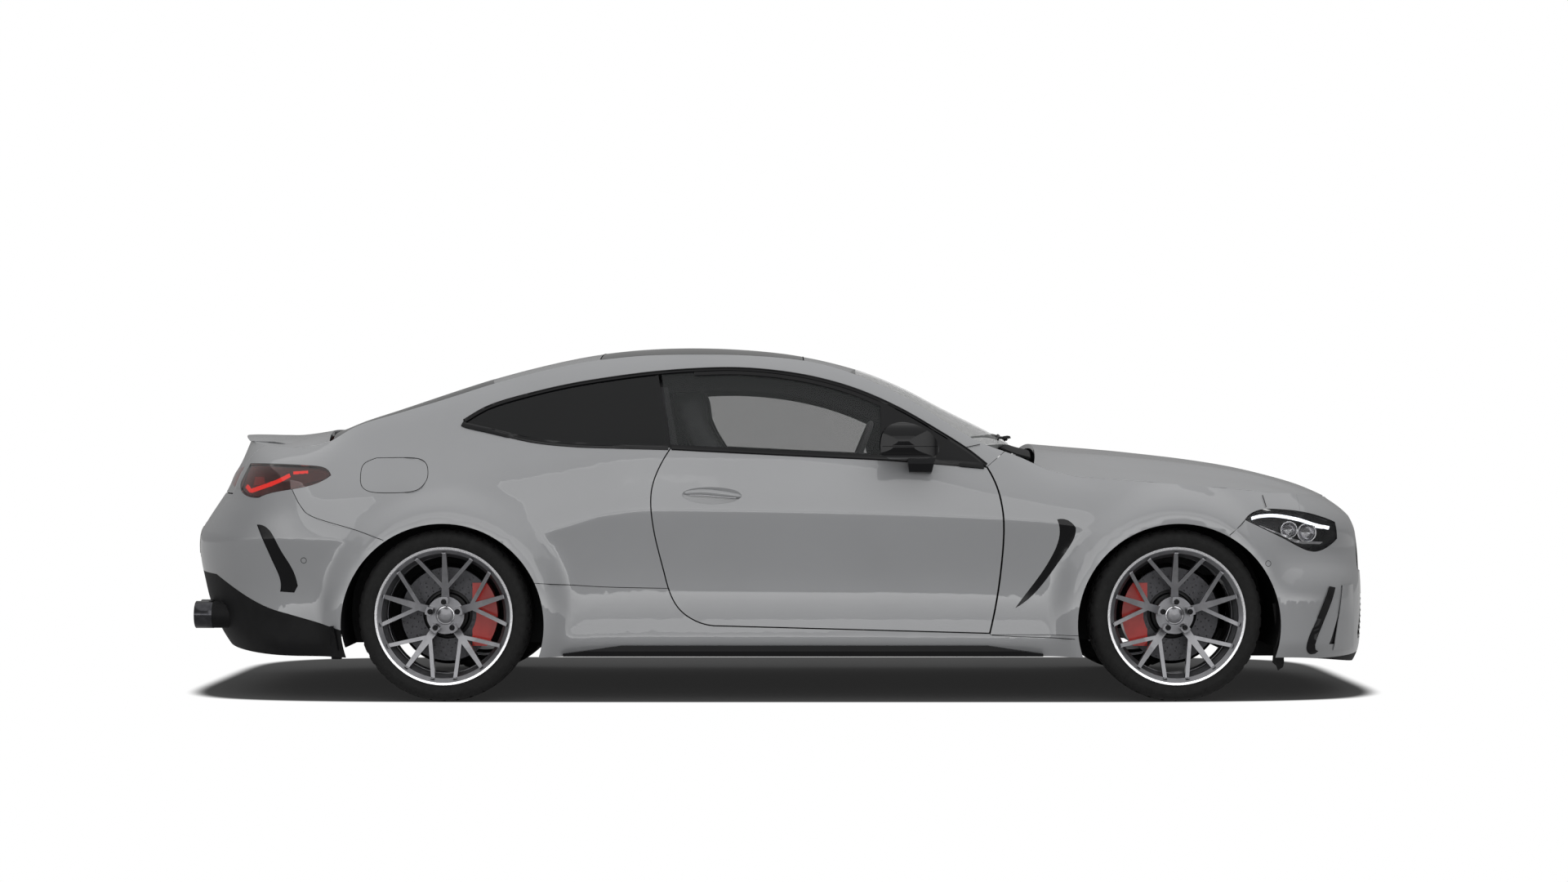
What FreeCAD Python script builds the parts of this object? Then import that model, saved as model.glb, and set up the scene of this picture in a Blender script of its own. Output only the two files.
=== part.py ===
# Two-door coupe with a long bonnet, wide arches and a short boot lid, 4.85 m long.
# X runs forward, Y to the car's left, Z up, and the origin is on the ground under the middle of the car.
# The body is a lines plan: a few lines along the car give each station's section, the sections carry one
# smooth surface for each flank, nose, tail, bonnet, roof and boot, and the panels are cut from those surfaces.
import FreeCAD, Part
import math
import os
from FreeCAD import Placement, Rotation, Vector

doc = FreeCAD.newDocument("coupe")
sheet = doc.addObject("Spreadsheet::Sheet", "sizes")

SIZES = [
    ("overall_length", 4853), ("overall_width", 1935), ("roof_height", 1417), ("wheelbase", 2875),
    ("front_overhang", 867), ("wheel_track", 1628), 
    ("tyre_radius", 340), ("tyre_width", 265), ("rim_radius", 254), ("rim_barrel_thick", 9),
    ("spoke_width", 15), ("spoke_depth", 26), ("spoke_fork_radius", 142),
    ("hub_radius", 74), ("hub_depth", 46), ("stud_circle", 112), ("stud_radius", 7), ("centre_cap_radius", 34),
    ("disc_radius", 185), ("disc_thick", 32), ("disc_bell_radius", 84), ("disc_bell_depth", 44),
    ("caliper_length", 250),
    ("arch_gap", 58), ("arch_drop", 35), ("flare_land", 17), ("flare_slope", 0.62), ("flare_curve", 0.0085), ("liner_thick", 5),
    ("panel_thick", 12), ("bumper_thick", 5), ("panel_gap", 5), ("door_depth", 120), ("fender_thick", 5), ("frame_depth", 62),
    ("sill_depth", 130), ("roof_thick", 24), ("bonnet_thick", 18), ("glass_thick", 6), ("floor_thick", 20),
    ("seat_gap", 0.3), ("spindle_radius", 24), ("pin_radius", 8), ("pin_clearance", 0.3),
    ("engine_length", 620), ("engine_width", 520), ("engine_height", 480),
    ("seat_width", 500), ("steering_wheel_radius", 182),
    ("steering_rim_radius", 15),
    ("tailpipe_radius", 45), ("tailpipe_wall", 8),
]
for row, (alias, value) in enumerate(SIZES, start=1):
    sheet.set(f"A{row}", alias.replace("_", " "))
    sheet.set(f"B{row}", str(value))
    sheet.setAlias(f"B{row}", alias)
doc.recompute()


def size(alias):
    return float(sheet.get(alias))


# The lines plan is drawn at these datums and stretched between them to the sizes on the sheet.
DRAWN_TAIL, DRAWN_REAR_AXLE, DRAWN_FRONT_AXLE, DRAWN_NOSE = -2426.5, -1315.5, 1559.5, 2426.5
DRAWN_WIDTH = 1935.0
DRAWN_ROOF = 1417.0

NOSE = size("overall_length") / 2
TAIL = -NOSE
FRONT_AXLE = NOSE - size("front_overhang")
REAR_AXLE = FRONT_AXLE - size("wheelbase")
WHEEL_HEIGHT = size("tyre_radius")
WHEEL_PLANE = size("wheel_track") / 2
ARCH_RADIUS = size("tyre_radius") + size("arch_gap")
GAP = size("panel_gap")
SEAT = size("seat_gap")


def along(x):
    drawn = (DRAWN_TAIL, DRAWN_REAR_AXLE, DRAWN_FRONT_AXLE, DRAWN_NOSE)
    real = (TAIL, REAR_AXLE, FRONT_AXLE, NOSE)
    k = 0 if x < drawn[1] else 1 if x < drawn[2] else 2
    return real[k] + (x - drawn[k]) * (real[k + 1] - real[k]) / (drawn[k + 1] - drawn[k])


def across(y):
    return y * size("overall_width") / DRAWN_WIDTH


def upward(z):
    return z * size("roof_height") / DRAWN_ROOF


def smooth_line(table):
    """A curve through hand-set points (station, value) that never overshoots between them."""
    xs = [p[0] for p in table]
    ys = [p[1] for p in table]
    steps = [(ys[i + 1] - ys[i]) / (xs[i + 1] - xs[i]) for i in range(len(xs) - 1)]
    inner = [0.0 if a * b <= 0 else 2 * a * b / (a + b) for a, b in zip(steps, steps[1:])]
    slopes = [steps[0]] + inner + [steps[-1]]

    def at(x):
        x = min(max(x, xs[0]), xs[-1])
        i = max(k for k in range(len(xs) - 1) if xs[k] <= x)
        w = xs[i + 1] - xs[i]
        t = (x - xs[i]) / w
        start = (1 + 2 * t) * (1 - t) ** 2 * ys[i] + t * (1 - t) ** 2 * w * slopes[i]
        return start + t * t * (3 - 2 * t) * ys[i + 1] + t * t * (t - 1) * w * slopes[i + 1]

    return at


def ramp(x, start, end):
    t = min(max((x - start) / (end - start), 0.0), 1.0)
    return t * t * (3 - 2 * t)


# Lines along the car, each (station, value) in the drawn frame.
# The edge line is the bonnet edge, windscreen pillar, roof ditch and boot lid edge in turn.
edge_height = smooth_line([
    (-2083, 939), (-2000, 979), (-1935, 994), (-1855, 1006), (-1794, 1024), (-1735, 1066), (-1688, 1090),
    (-1542, 1135), (-1345, 1196), (-1142, 1262), (-880, 1328), (-695, 1359), (-472, 1376), (-229, 1377),
    (-27, 1367), (105, 1352), (277, 1307), (502, 1205), (818, 1014), (900, 985), (979, 955), (1027, 930),
    (1090, 904), (1186, 884), (1445, 865), (1772, 839), (1942, 822), (1960, 820),
])
edge_breadth = smooth_line([
    (-2083, 640), (-2000, 672), (-1935, 690), (-1794, 702), (-1735, 690), (-1542, 650), (-1345, 612),
    (-1142, 582), (-695, 560), (-229, 556), (105, 570), (277, 592), (502, 655), (818, 748), (900, 755),
    (979, 768), (1090, 788), (1186, 795), (1445, 795), (1772, 778), (1942, 738), (1960, 733),
])
waist_height = smooth_line([
    (-2100, 640), (-1735, 635), (-1315, 640), (-978, 657), (-817, 695), (-689, 734), (-496, 753), (148, 744),
    (873, 718), (1179, 690), (1260, 660), (1559, 650), (1899, 577), (1960, 560),
])
waist_breadth = smooth_line([
    (-2100, 840), (-1900, 890), (-1735, 908), (-1315, 905), (-496, 905), (148, 903), (873, 905),
    (1559, 905), (1899, 893), (1960, 885),
])
# Inset of the flank from the waist line, from the sill's foot (0) to the waist (1).
flank_inset = smooth_line([(0, 30), (0.06, 16), (0.13, 8), (0.25, 22), (0.5, 30), (0.75, 18), (0.9, 7), (1, 0)])
# Share of the way in from the waist line to the edge line, by share of the height.
cabin_lean = smooth_line([
    (0, 0), (0.12, 0.035), (0.244, 0.106), (0.38, 0.172), (0.509, 0.315), (0.637, 0.478), (0.766, 0.645),
    (0.894, 0.817), (0.95, 0.903), (1, 1),
])
wing_lean = smooth_line([(0, 0), (0.25, 0.06), (0.5, 0.22), (0.75, 0.52), (1, 1)])
haunch_lean = smooth_line([(0, 0), (0.32, 0.03), (0.55, 0.1), (0.75, 0.22), (0.876, 0.5), (1, 1)])
# Profiles of the nose and the tail on the centreline, (height, station).
nose_profile = smooth_line([
    (105, 2385), (150, 2408), (200, 2420), (330, 2426.5), (540, 2426.5), (640, 2416), (700, 2394),
    (750, 2345), (790, 2285),
])
tail_profile = smooth_line([
    (200, -2290), (258, -2330), (330, -2365), (400, -2392), (462, -2405), (520, -2420), (590, -2426.5),
    (646, -2422), (680, -2406), (750, -2360), (809, -2318), (830, -2304), (913, -2264), (934, -2248), (961, -2236),
    (1003, -2222), (1040, -2212),
])
# Centreline heights of the bonnet, the cabin's top and the boot lid, and their crowns.
bonnet_centre = smooth_line([
    (880, 1024), (1024, 1017), (1197, 1003), (1370, 989), (1543, 971), (1717, 950), (1890, 922), (2063, 881),
    (2167, 850), (2285, 797), (2400, 740),
])
cabin_centre = smooth_line([
    (-1840, 1062), (-1747, 1100), (-1574, 1158), (-1366, 1231), (-1193, 1287), (-1054, 1325), (-881, 1366),
    (-725, 1394), (-535, 1412), (-396, 1417), (-292, 1417), (-188, 1412), (-15, 1398), (158, 1370), (321, 1328),
    (504, 1256), (678, 1165), (851, 1079), (948, 1024), (1100, 930),
])
boot_centre = smooth_line([(-2250, 1050), (-2225, 1050), (-2167, 1053), (-2018, 1052), (-1920, 1062), (-1740, 1096)])

SILL_FOOT = 178.0
BELOW_WAIST = (0, 0.03, 0.08, 0.14, 0.21, 0.3, 0.42, 0.55, 0.68, 0.8, 0.88, 0.94, 0.975, 1.0)
ABOVE_WAIST = (0.03, 0.08, 0.14, 0.21, 0.28, 0.35, 0.42, 0.49, 0.56, 0.63, 0.7, 0.77, 0.84, 0.9, 0.95, 0.98, 1.0)
STATION_STEP = 45.0
REAR_TURN, FRONT_TURN = -1900.0, 1960.0
FLARES = ((REAR_AXLE, 962.0), (FRONT_AXLE, 957.0))


def flared(x, y, z):
    """The half-breadth y at a real point of the flank, swollen to the round wheel arch flares."""
    land = ARCH_RADIUS + size("flare_land")
    for axle, crown in FLARES:
        reach = math.hypot(x - axle, z - WHEEL_HEIGHT)
        beyond = max(reach - land, 0.0)
        cone = across(crown) - size("flare_slope") * beyond - size("flare_curve") * beyond ** 2
        blend = 40.0
        near = max(blend - abs(y - cone), 0.0) / blend
        y = max(y, cone) + near * near * blend / 4
    return y


def station(x):
    """Poles of the right flank at one drawn station, from the sill's foot to the edge line."""
    waist_z, waist_y = waist_height(x), waist_breadth(x)
    edge_z, edge_y = edge_height(x), edge_breadth(x)
    drawn = [(waist_y - flank_inset(e), SILL_FOOT + e * (waist_z - SILL_FOOT)) for e in BELOW_WAIST]
    wing = ramp(x, 750, 1150)
    haunch = 1 - ramp(x, -1950, -1650)
    for e in ABOVE_WAIST:
        lean = (1 - wing - haunch) * cabin_lean(e) + wing * wing_lean(e) + haunch * haunch_lean(e)
        drawn.append((waist_y - (waist_y - edge_y) * lean, waist_z + e * (edge_z - waist_z)))
    points = []
    for y, z in drawn:
        real_x, real_z = along(x), upward(z)
        points.append(Vector(real_x, -flared(real_x, across(y), real_z), real_z))
    return points


def stations(start, end):
    count = round((end - start) / STATION_STEP)
    return [station(start + (end - start) * k / count) for k in range(count + 1)]


def turn(end, foot, top, profile, reach, square, share):
    """Poles of one column round the nose or tail: each row is a cubic curve from the flank to the centreline."""
    inward = -STATION_STEP if end > 0 else STATION_STEP
    here, before = station(end), station(end + inward)
    low, high = here[0].z, here[-1].z
    column = []
    for p, q in zip(here, before):
        level = (p.z - low) / (high - low)
        end_z = foot + level * (top - foot)
        end_x = along(profile(end_z))
        slope = (p.y - q.y) / (p.x - q.x)
        handle = reach * (end_x - p.x)
        a, b = (1 - share) ** 3, 3 * share * (1 - share) ** 2
        c, d = 3 * share * share * (1 - share), share ** 3
        x = a * p.x + b * (p.x + handle) + (c + d) * end_x
        y = a * p.y + b * (p.y + handle * slope) + c * square * p.y
        z = p.z + (upward(end_z) - p.z) * ramp(share, 0, 1)
        column.append(Vector(x, y, z))
    return column


TURN_STEPS = 14


def nose_turn():
    return [turn(FRONT_TURN, 118, 792, nose_profile, 0.5, 0.64, k / TURN_STEPS) for k in range(1, TURN_STEPS + 1)]


def tail_turn():
    return [turn(REAR_TURN, 205, 1036, tail_profile, 0.5, 0.64, k / TURN_STEPS) for k in range(1, TURN_STEPS + 1)]


def surface(poles):
    rows, columns = len(poles), len(poles[0])
    made = Part.BSplineSurface()
    ends_r, ends_c = [4] + [1] * (rows - 4) + [4], [4] + [1] * (columns - 4) + [4]
    made.buildFromPolesMultsKnots(
        poles, ends_r, ends_c, list(range(rows - 2)), list(range(columns - 2)), False, False, 3, 3
    )
    return made


def between(outer, inner):
    """The closed solid between two surfaces laid out alike."""
    outer, inner = surface(outer), surface(inner)
    faces = [outer.toShape(), inner.toShape()]
    u0, u1, v0, v1 = outer.bounds()
    for cut in ("uIso", "vIso"):
        for value in ((u0, u1) if cut == "uIso" else (v0, v1)):
            rims = [getattr(s, cut)(value).toShape() for s in (outer, inner)]
            faces.append(Part.makeRuledSurface(*rims))
    shell = Part.makeShell(faces)
    shell.sewShape()
    solid = Part.makeSolid(shell)
    if solid.Volume < 0:
        solid.reverse()
    return solid


def inward(poles, depth, core=Vector(0, 0, 600)):
    """The poles moved inward along the surface's own normal by depth."""
    moved = []
    for i, row in enumerate(poles):
        line = []
        for j, p in enumerate(row):
            lengthwise = poles[min(i + 1, len(poles) - 1)][j] - poles[max(i - 1, 0)][j]
            upright = row[min(j + 1, len(row) - 1)] - row[max(j - 1, 0)]
            normal = lengthwise.cross(upright)
            if abs(p.y) < 0.001:
                normal.y = 0
            normal.normalize()
            if normal.dot(Vector(core.x + 0.6 * (p.x - core.x), core.y, core.z) - p) < 0:
                normal = -normal
            line.append(p + normal * depth)
        moved.append(line)
    return moved


def side_wire(groups, y):
    """A closed outline in side view, drawn as runs of points: two points are a line, more are a smooth curve."""
    edges = []
    for group in groups:
        points = [Vector(along(x), y, upward(z)) for x, z in group]
        if len(points) == 2:
            edges.append(Part.LineSegment(*points).toShape())
        else:
            curve = Part.BSplineCurve()
            curve.interpolate(points)
            edges.append(curve.toShape())
    return Part.Wire(edges)


def drawn_in(face, shrink):
    """The face moved in from its outline, each curve of it redrawn through points of the moved one."""
    edges = []
    for edge in face.makeOffset2D(-shrink).OuterWire.OrderedEdges:
        points = edge.discretize(2 if isinstance(edge.Curve, (Part.Line, Part.LineSegment)) else 25)
        if len(points) == 2:
            edges.append(Part.makeLine(*points))
        else:
            curve = Part.BSplineCurve()
            curve.interpolate(points)
            edges.append(curve.toShape())
    return Part.Face(Part.Wire(Part.__sortEdges__(edges)))


OUTSIDE = -size("overall_width") * 0.62


def upright_solid(solid):
    if solid.Volume < 0:
        solid.reverse()
    return solid


def side_prism(groups, depth=None, shrink=0.0):
    """An outline in side view carried across the right half of the car, drawn in by shrink."""
    face = Part.Face(side_wire(groups, OUTSIDE))
    if shrink:
        face = drawn_in(face, shrink)
    return upright_solid(face.extrude(Vector(0, depth or 150 - OUTSIDE, 0)))


def front_prism(groups, start, end, shrink=0.0):
    """An outline in the Y-Z plane carried along X from start to end."""
    edges = []
    for group in groups:
        points = [Vector(start, across(y), upward(z)) for y, z in group]
        if len(points) == 2:
            edges.append(Part.LineSegment(*points).toShape())
        else:
            curve = Part.BSplineCurve()
            curve.interpolate(points)
            edges.append(curve.toShape())
    face = Part.Face(Part.Wire(edges))
    if shrink:
        face = drawn_in(face, shrink)
    return upright_solid(face.extrude(Vector(end - start, 0, 0)))


def plan_prism(groups, low, high, shrink=0.0):
    """An outline in plan carried up from low to high."""
    edges = []
    for group in groups:
        points = [Vector(along(x), across(y), low) for x, y in group]
        if len(points) == 2:
            edges.append(Part.LineSegment(*points).toShape())
        else:
            curve = Part.BSplineCurve()
            curve.interpolate(points)
            edges.append(curve.toShape())
    face = Part.Face(Part.Wire(edges))
    if shrink:
        face = drawn_in(face, shrink)
    return upright_solid(face.extrude(Vector(0, 0, high - low)))


def left_of(shape):
    return shape.mirror(Vector(0, 0, 0), Vector(0, 1, 0))


def both(shape):
    return Part.makeCompound([shape, left_of(shape)])


def box(x0, x1, y0, y1, z0, z1):
    return Part.makeBox(x1 - x0, y1 - y0, z1 - z0, Vector(x0, y0, z0))


parts = {}


def keep(name, shape):
    """Files one sub-part in the document under its own name."""
    item = doc.addObject("Part::Feature", name)
    item.Label = name
    item.Shape = shape
    item.Placement = shape.Placement
    parts[name] = item
    return shape


# Outlines in side view, drawn on the right flank.
DOOR_REAR = [(-431, 1000), (-480, 914), (-505, 833), (-506, 753), (-489, 640), (-457, 512), (-434, 431),
             (-399, 367), (-335, 318), (-238, 296)]
DOOR_FOOT = [(-238, 296), (831, 267)]
DOOR_FRONT = [(831, 267), (857, 383), (882, 576), (886, 705), (870, 818), (824, 926)]
BELT = [(824, 926), (471, 955), (149, 971), (-174, 987), (-431, 1000)]
GLASS_FOOT = [(-431, 1000), (-658, 1006), (-820, 1012), (-982, 1029), (-1146, 1066), (-1254, 1090)]
GLASS_TIP = [(-1254, 1090), (-1268, 1097), (-1261, 1104)]
GLASS_HEAD = [(-1261, 1104), (-1158, 1164), (-995, 1213), (-834, 1250), (-670, 1277), (-507, 1298), (-342, 1311),
              (-178, 1315), (-13, 1303), (151, 1275), (314, 1227), (477, 1154), (637, 1060), (748, 988), (824, 926)]
LAMP_FRONT = [[(1832, 717), (1866, 742), (1900, 754), (1985, 757), (2072, 748), (2160, 728), (2235, 702)],
              [(2235, 702), (2244, 634)],
              [(2244, 634), (2215, 612), (2130, 586), (2072, 602), (1988, 644)], [(1988, 644), (1832, 717)]]
LAMP_REAR = [[(-1773, 891), (-1790, 915), (-1850, 930), (-1960, 936), (-2060, 938), (-2129, 938)],
             [(-2129, 938), (-2168, 860)], [(-2168, 860), (-2161, 830), (-2120, 806), (-2064, 802)],
             [(-2064, 802), (-1923, 836), (-1800, 872), (-1773, 891)]]
FUEL_FLAP = [[(-1600, 960), (-1450, 960)], [(-1450, 960), (-1402, 940), (-1391, 900)], [(-1391, 900), (-1393, 875)],
             [(-1393, 875), (-1420, 838), (-1480, 824)], [(-1480, 824), (-1600, 824)],
             [(-1600, 824), (-1648, 845), (-1658, 890)], [(-1658, 890), (-1650, 936), (-1600, 960)]]
WING_VENT = [[(1094, 719), (1132, 717), (1168, 685)], [(1168, 685), (1163, 650), (1143, 611), (1103, 552), (1055, 483),
             (995, 414), (931, 368)], [(931, 368), (1025, 493), (1074, 572), (1103, 651), (1094, 719)]]
BUMPER_VENT = [[(-2070, 696), (-2035, 690), (-1968, 598), (-1920, 520), (-1900, 455)], [(-1900, 455), (-1915, 428)],
               [(-1915, 428), (-1974, 431)], [(-1974, 431), (-1971, 468), (-1996, 536), (-2036, 622), (-2070, 696)]]
SEAM_REAR = [(-1923, 836), (-1885, 769), (-1836, 728), (-1656, 674), (-1549, 638)]


def top_sheet(height, xs, breadth, steps=9, drop=0.0):
    """Poles of a top patch: height(x, share) over the breadth at each drawn station, share from -1 to 1."""
    poles = []
    for x in xs:
        row = []
        for k in range(2 * steps + 1):
            share = (k - steps) / steps
            row.append(Vector(along(x), across(breadth(x) * share), upward(height(x, share)) - drop))
        poles.append(row)
    return poles


def spread(start, end, count):
    return [start + (end - start) * k / (count - 1) for k in range(count)]


def bonnet_height(x, share):
    bend = min(x, 1960.0)
    fall = (bonnet_centre(bend) - edge_height(bend)) / edge_breadth(bend) ** 2.2
    y = abs(share) * bonnet_breadth(x)
    ridge = 12 * ramp(y, 560, 500) * ramp(y, 330, 450) * ramp(x, 1000, 1350) * (1 - ramp(x, 1900, 2250))
    return bonnet_centre(x) - fall * y ** 2.2 + ridge


def bonnet_breadth(x):
    return edge_breadth(min(x, 1960.0)) + 10


def cabin_height(x, share):
    return edge_height(x) + (cabin_centre(x) - edge_height(x)) * (1 - abs(share) ** 2.4)


def boot_height(x, share):
    low = min(edge_height(max(x, -2083)), 1040)
    return boot_centre(x) - (boot_centre(x) - low) * abs(share) ** 3


# The net of poles runs from the tail's centreline along the right flank to the nose's centreline.
flank = stations(REAR_TURN, FRONT_TURN)
nose, tail = nose_turn(), tail_turn()
right_net = tail[::-1] + flank + nose
rear_net = flank[30::-1] + tail
front_net = flank[54:] + nose
PANEL = size("panel_thick")


def skin(net, start, end):
    return between(inward(net, start) if start else net, inward(net, end))


def moved_in(net, depth):
    return [[p + Vector(0, depth(p), 0) for p in column] for column in net]


def door_wall(p):
    deep, slim = size("door_depth"), size("frame_depth")
    return deep + (slim - deep) * ramp(p.z, upward(850), upward(980))


def side_wall(p):
    """Depth of the body's side behind its own outer panel: sill, door post, roof rail and pillars."""
    sill = size("sill_depth") * (1 - ramp(p.z, upward(285), upward(330))) * ramp(p.x, along(-1010), along(-930))
    post = (size("door_depth") - 12) * ramp(p.x, along(-690), along(-610)) * (1 - ramp(p.z, upward(900), upward(1010)))
    rail = (size("frame_depth") - 14) * ramp(p.z, upward(960), upward(1060)) * ramp(p.x, along(-1740), along(-1560))
    return PANEL + max(sill, post, rail)


ARCH_SHIFT = {REAR_AXLE: -4.0, FRONT_AXLE: 9.0}


def arch(axle, radius=None, start=None, end=0.0):
    centre = Vector(axle + ARCH_SHIFT[axle], start or OUTSIDE, WHEEL_HEIGHT - size("arch_drop"))
    return Part.makeCylinder(radius or ARCH_RADIUS, end - (start or OUTSIDE), centre, Vector(0, 1, 0))


door_outline = [DOOR_REAR, DOOR_FOOT, DOOR_FRONT, BELT]
glass_outline = [BELT, GLASS_FOOT, GLASS_TIP, GLASS_HEAD]
rear_bumper_region = [[(-2500, 836), (-1923, 836)], SEAM_REAR, [(-1549, 638), (-1549, 100)], [(-1549, 100), (-2500, 100)],
                      [(-2500, 100), (-2500, 836)]]
front_bumper_region = [[(2500, 900), (2075, 900)], [(2075, 900), (2075, 722)], [(2075, 722), (1832, 717)],
                       [(1832, 717), (1768, 660)], [(1768, 660), (1768, 50)], [(1768, 50), (2500, 50)],
                       [(2500, 50), (2500, 900)]]
diffuser_region = [[(-2500, 500), (-2272, 490)], [(-2272, 490), (-2167, 433), (-2056, 379), (-1954, 348)],
                   [(-1954, 348), (-1700, 281)], [(-1700, 281), (-1600, 100)], [(-1600, 100), (-2500, 100)],
                   [(-2500, 100), (-2500, 500)]]
fender_region = [DOOR_FRONT, [(824, 926), (905, 992)], [(905, 992), (905, 1150)], [(905, 1150), (2600, 1150)],
                 [(2600, 1150), (2600, 263)], [(2600, 263), (831, 263)], [(831, 263), (831, 267)]]


def one_solid(shape):
    return max(shape.Solids, key=lambda s: s.Volume)


def whole(half):
    """A right half joined to its mirror image on the centreline."""
    return one_solid(half.fuse(left_of(half)))


# Doors: one pressed outer and a stepped inner, with a window lift well and hinge pins in pockets.
HINGE = Vector(along(806), across(-862), 0)
HINGE_LEVELS = (upward(610), upward(745))
PIN = size("pin_radius")


HANDLE_DISH = (-265, 814, 117, 44)
HANDLE_DEPTH = 11.0


def handle_dish(flesh):
    """The oval hollow behind the door handle: an ellipsoid round the point where its middle meets the door's skin."""
    x, z, long_half, high_half = HANDLE_DISH
    ray = Part.makeLine(Vector(along(x), OUTSIDE, upward(z)), Vector(along(x), across(-600), upward(z)))
    depth = min(v.Point.y for v in flesh.common(ray).Vertexes)
    ball = Part.makeSphere(1.0)
    shape = FreeCAD.Matrix()
    shape.scale(long_half, HANDLE_DEPTH, high_half)
    ball = ball.transformGeometry(shape)
    ball.translate(Vector(along(x), depth, upward(z)))
    return ball


def make_door():
    middle = [c for c in flank if along(-700) < c[0].x < along(1100)]
    outer = between(middle, moved_in(middle, lambda p: 46.0))
    inner = between(moved_in(middle, lambda p: 45.0), moved_in(middle, door_wall))
    door = one_solid(outer.common(side_prism(door_outline, shrink=GAP)))
    lining = one_solid(inner.common(side_prism(door_outline, shrink=GAP + 7)))
    door = door.cut(handle_dish(door)).fuse(lining)
    for level in HINGE_LEVELS:
        pocket = box(HINGE.x - PIN - 14, HINGE.x + 200, HINGE.y - PIN - 11, HINGE.y + 400, level - 28, level + 28)
        pin = Part.makeCylinder(PIN, 76, Vector(HINGE.x, HINGE.y, level - 38))
        door = door.cut(pocket).fuse(pin)
    return one_solid(door)


def hinge_arm(level):
    eye = Part.makeCylinder(PIN + 7, 36, Vector(HINGE.x, HINGE.y, level - 18))
    elbow_y = HINGE.y + 72
    neck = box(HINGE.x - 7, HINGE.x + 7, HINGE.y, elbow_y + 7, level - 18, level + 18)
    reach = box(HINGE.x - 7, along(HINGE_POST), elbow_y - 7, elbow_y + 7, level - 18, level + 18)
    bore = Part.makeCylinder(PIN + size("pin_clearance"), 60, Vector(HINGE.x, HINGE.y, level - 30))
    return eye.fuse(neck).fuse(reach).cut(bore)


HINGE_POST = 906.0


# Top panels: the cabin's top is one patch from the windscreen's foot to the rear window's foot.
ROOF_FRONT = [(277, -640), (312, -300), (321, 0), (312, 300), (277, 640)]
ROOF_REAR = [(-1142, -640), (-1182, -300), (-1193, 0), (-1182, 300), (-1142, 640)]
SCREEN_FOOT = [(835, -860), (890, -640), (945, -300), (960, 0), (945, 300), (890, 640), (835, 860)]
REAR_FOOT = [(-1770, -800), (-1796, -600), (-1822, -300), (-1830, 0), (-1822, 300), (-1796, 600), (-1770, 800)]
BONNET_REAR = [(1000, -800), (1018, -640), (1038, -300), (1045, 0), (1038, 300), (1018, 640), (1000, 800)]
GLASS = size("glass_thick")
ROOF = size("roof_thick")


def across_plan(front, back):
    return [front, [front[-1], back[-1]], back[::-1], [back[0], front[0]]]


def cabin_patch(front, back, thick, border=3.0, lift=0.0):
    xs = [p[0] for p in front + back]
    stops = spread(min(xs) - 30, max(xs) + 30, 15)
    upper = top_sheet(cabin_height, stops, lambda x: edge_breadth(x) - border, drop=-lift)
    return between(upper, [[p - Vector(0, 0, thick + lift) for p in row] for row in upper])


def cabin_piece(front, back, thick):
    outline = plan_prism(across_plan(front, back), 0, upward(1600), shrink=0.4)
    return one_solid(cabin_patch(front, back, thick).common(outline))


def cabin_rebate(front, back, thick):
    outline = plan_prism(across_plan(front, back), 0, upward(1600))
    return cabin_patch(front, back, thick + 0.3, border=2.5, lift=80).common(outline)


TOPS = {
    "windscreen": (SCREEN_FOOT, ROOF_FRONT, GLASS), "roof_panel": (ROOF_FRONT, ROOF_REAR, ROOF),
    "rear_window": (ROOF_REAR, REAR_FOOT, GLASS),
}


def lid_region(shrink=0.0):
    outline = [[(-575, 1100), (-575, 812)], [(-575, 812), (575, 812)], [(575, 812), (575, 1100)],
               [(575, 1100), (-575, 1100)]]
    return front_prism(outline, along(-2600), along(-2000), shrink)


def top_row_curve(columns):
    """The edge line in plan from the flank round to the centreline and on to the other flank."""
    right = [(c[-1].x, c[-1].y) for c in columns]
    return right + [(x, -y) for x, y in reversed(right[:-1])]


def curve_prism(points, front, low, high, shrink):
    """A prism whose plan is a smooth curve of real points, closed by an outline of real points."""
    curve = Part.BSplineCurve()
    curve.interpolate([Vector(x, y, low) for x, y in points])
    edges = [curve.toShape()]
    ends = [points[-1]] + front + [points[0]]
    if len(front) > 2:
        other = Part.BSplineCurve()
        other.interpolate([Vector(x, y, low) for x, y in front])
        edges += [Part.makeLine(Vector(*points[-1], low), Vector(*front[0], low)), other.toShape(),
                  Part.makeLine(Vector(*front[-1], low), Vector(*points[0], low))]
    else:
        for a, b in zip(ends, ends[1:]):
            edges.append(Part.makeLine(Vector(*a, low), Vector(*b, low)))
    face = Part.Face(Part.Wire(edges))
    if shrink:
        face = drawn_in(face, shrink)
    return upright_solid(face.extrude(Vector(0, 0, high - low)))


def make_boot_lid():
    stops = spread(-2310, -1730, 14)
    poles = top_sheet(boot_height, stops, lambda x: 702.0)
    deck = between(poles, [[p - Vector(0, 0, 20) for p in row] for row in poles])
    rim = top_row_curve(flank[2::-1] + tail)
    rim = [(along(-1745), rim[0][1])] + rim + [(along(-1745), -rim[0][1])]
    inside = curve_prism(rim, [], 0, 3000, GAP + PANEL)
    tail_end = curve_prism(rim, [], 0, 3000, 0).common(box(along(-2400), along(-2020), -570, 570, 0, 3000))
    ahead = plan_prism([REAR_FOOT, [REAR_FOOT[-1], (-1200, 800)], [(-1200, 800), (-1200, -800)],
                        [(-1200, -800), REAR_FOOT[0]]], 0, 3000, shrink=-16)
    deck = deck.common(inside.fuse(tail_end)).cut(ahead)
    face = skin(rear_net, 0, 16).common(lid_region(GAP))
    lid = deck.fuse([face, left_of(face)])
    return one_solid(lid.fuse([lid_arm(s) for s in (1, -1)]))


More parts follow.
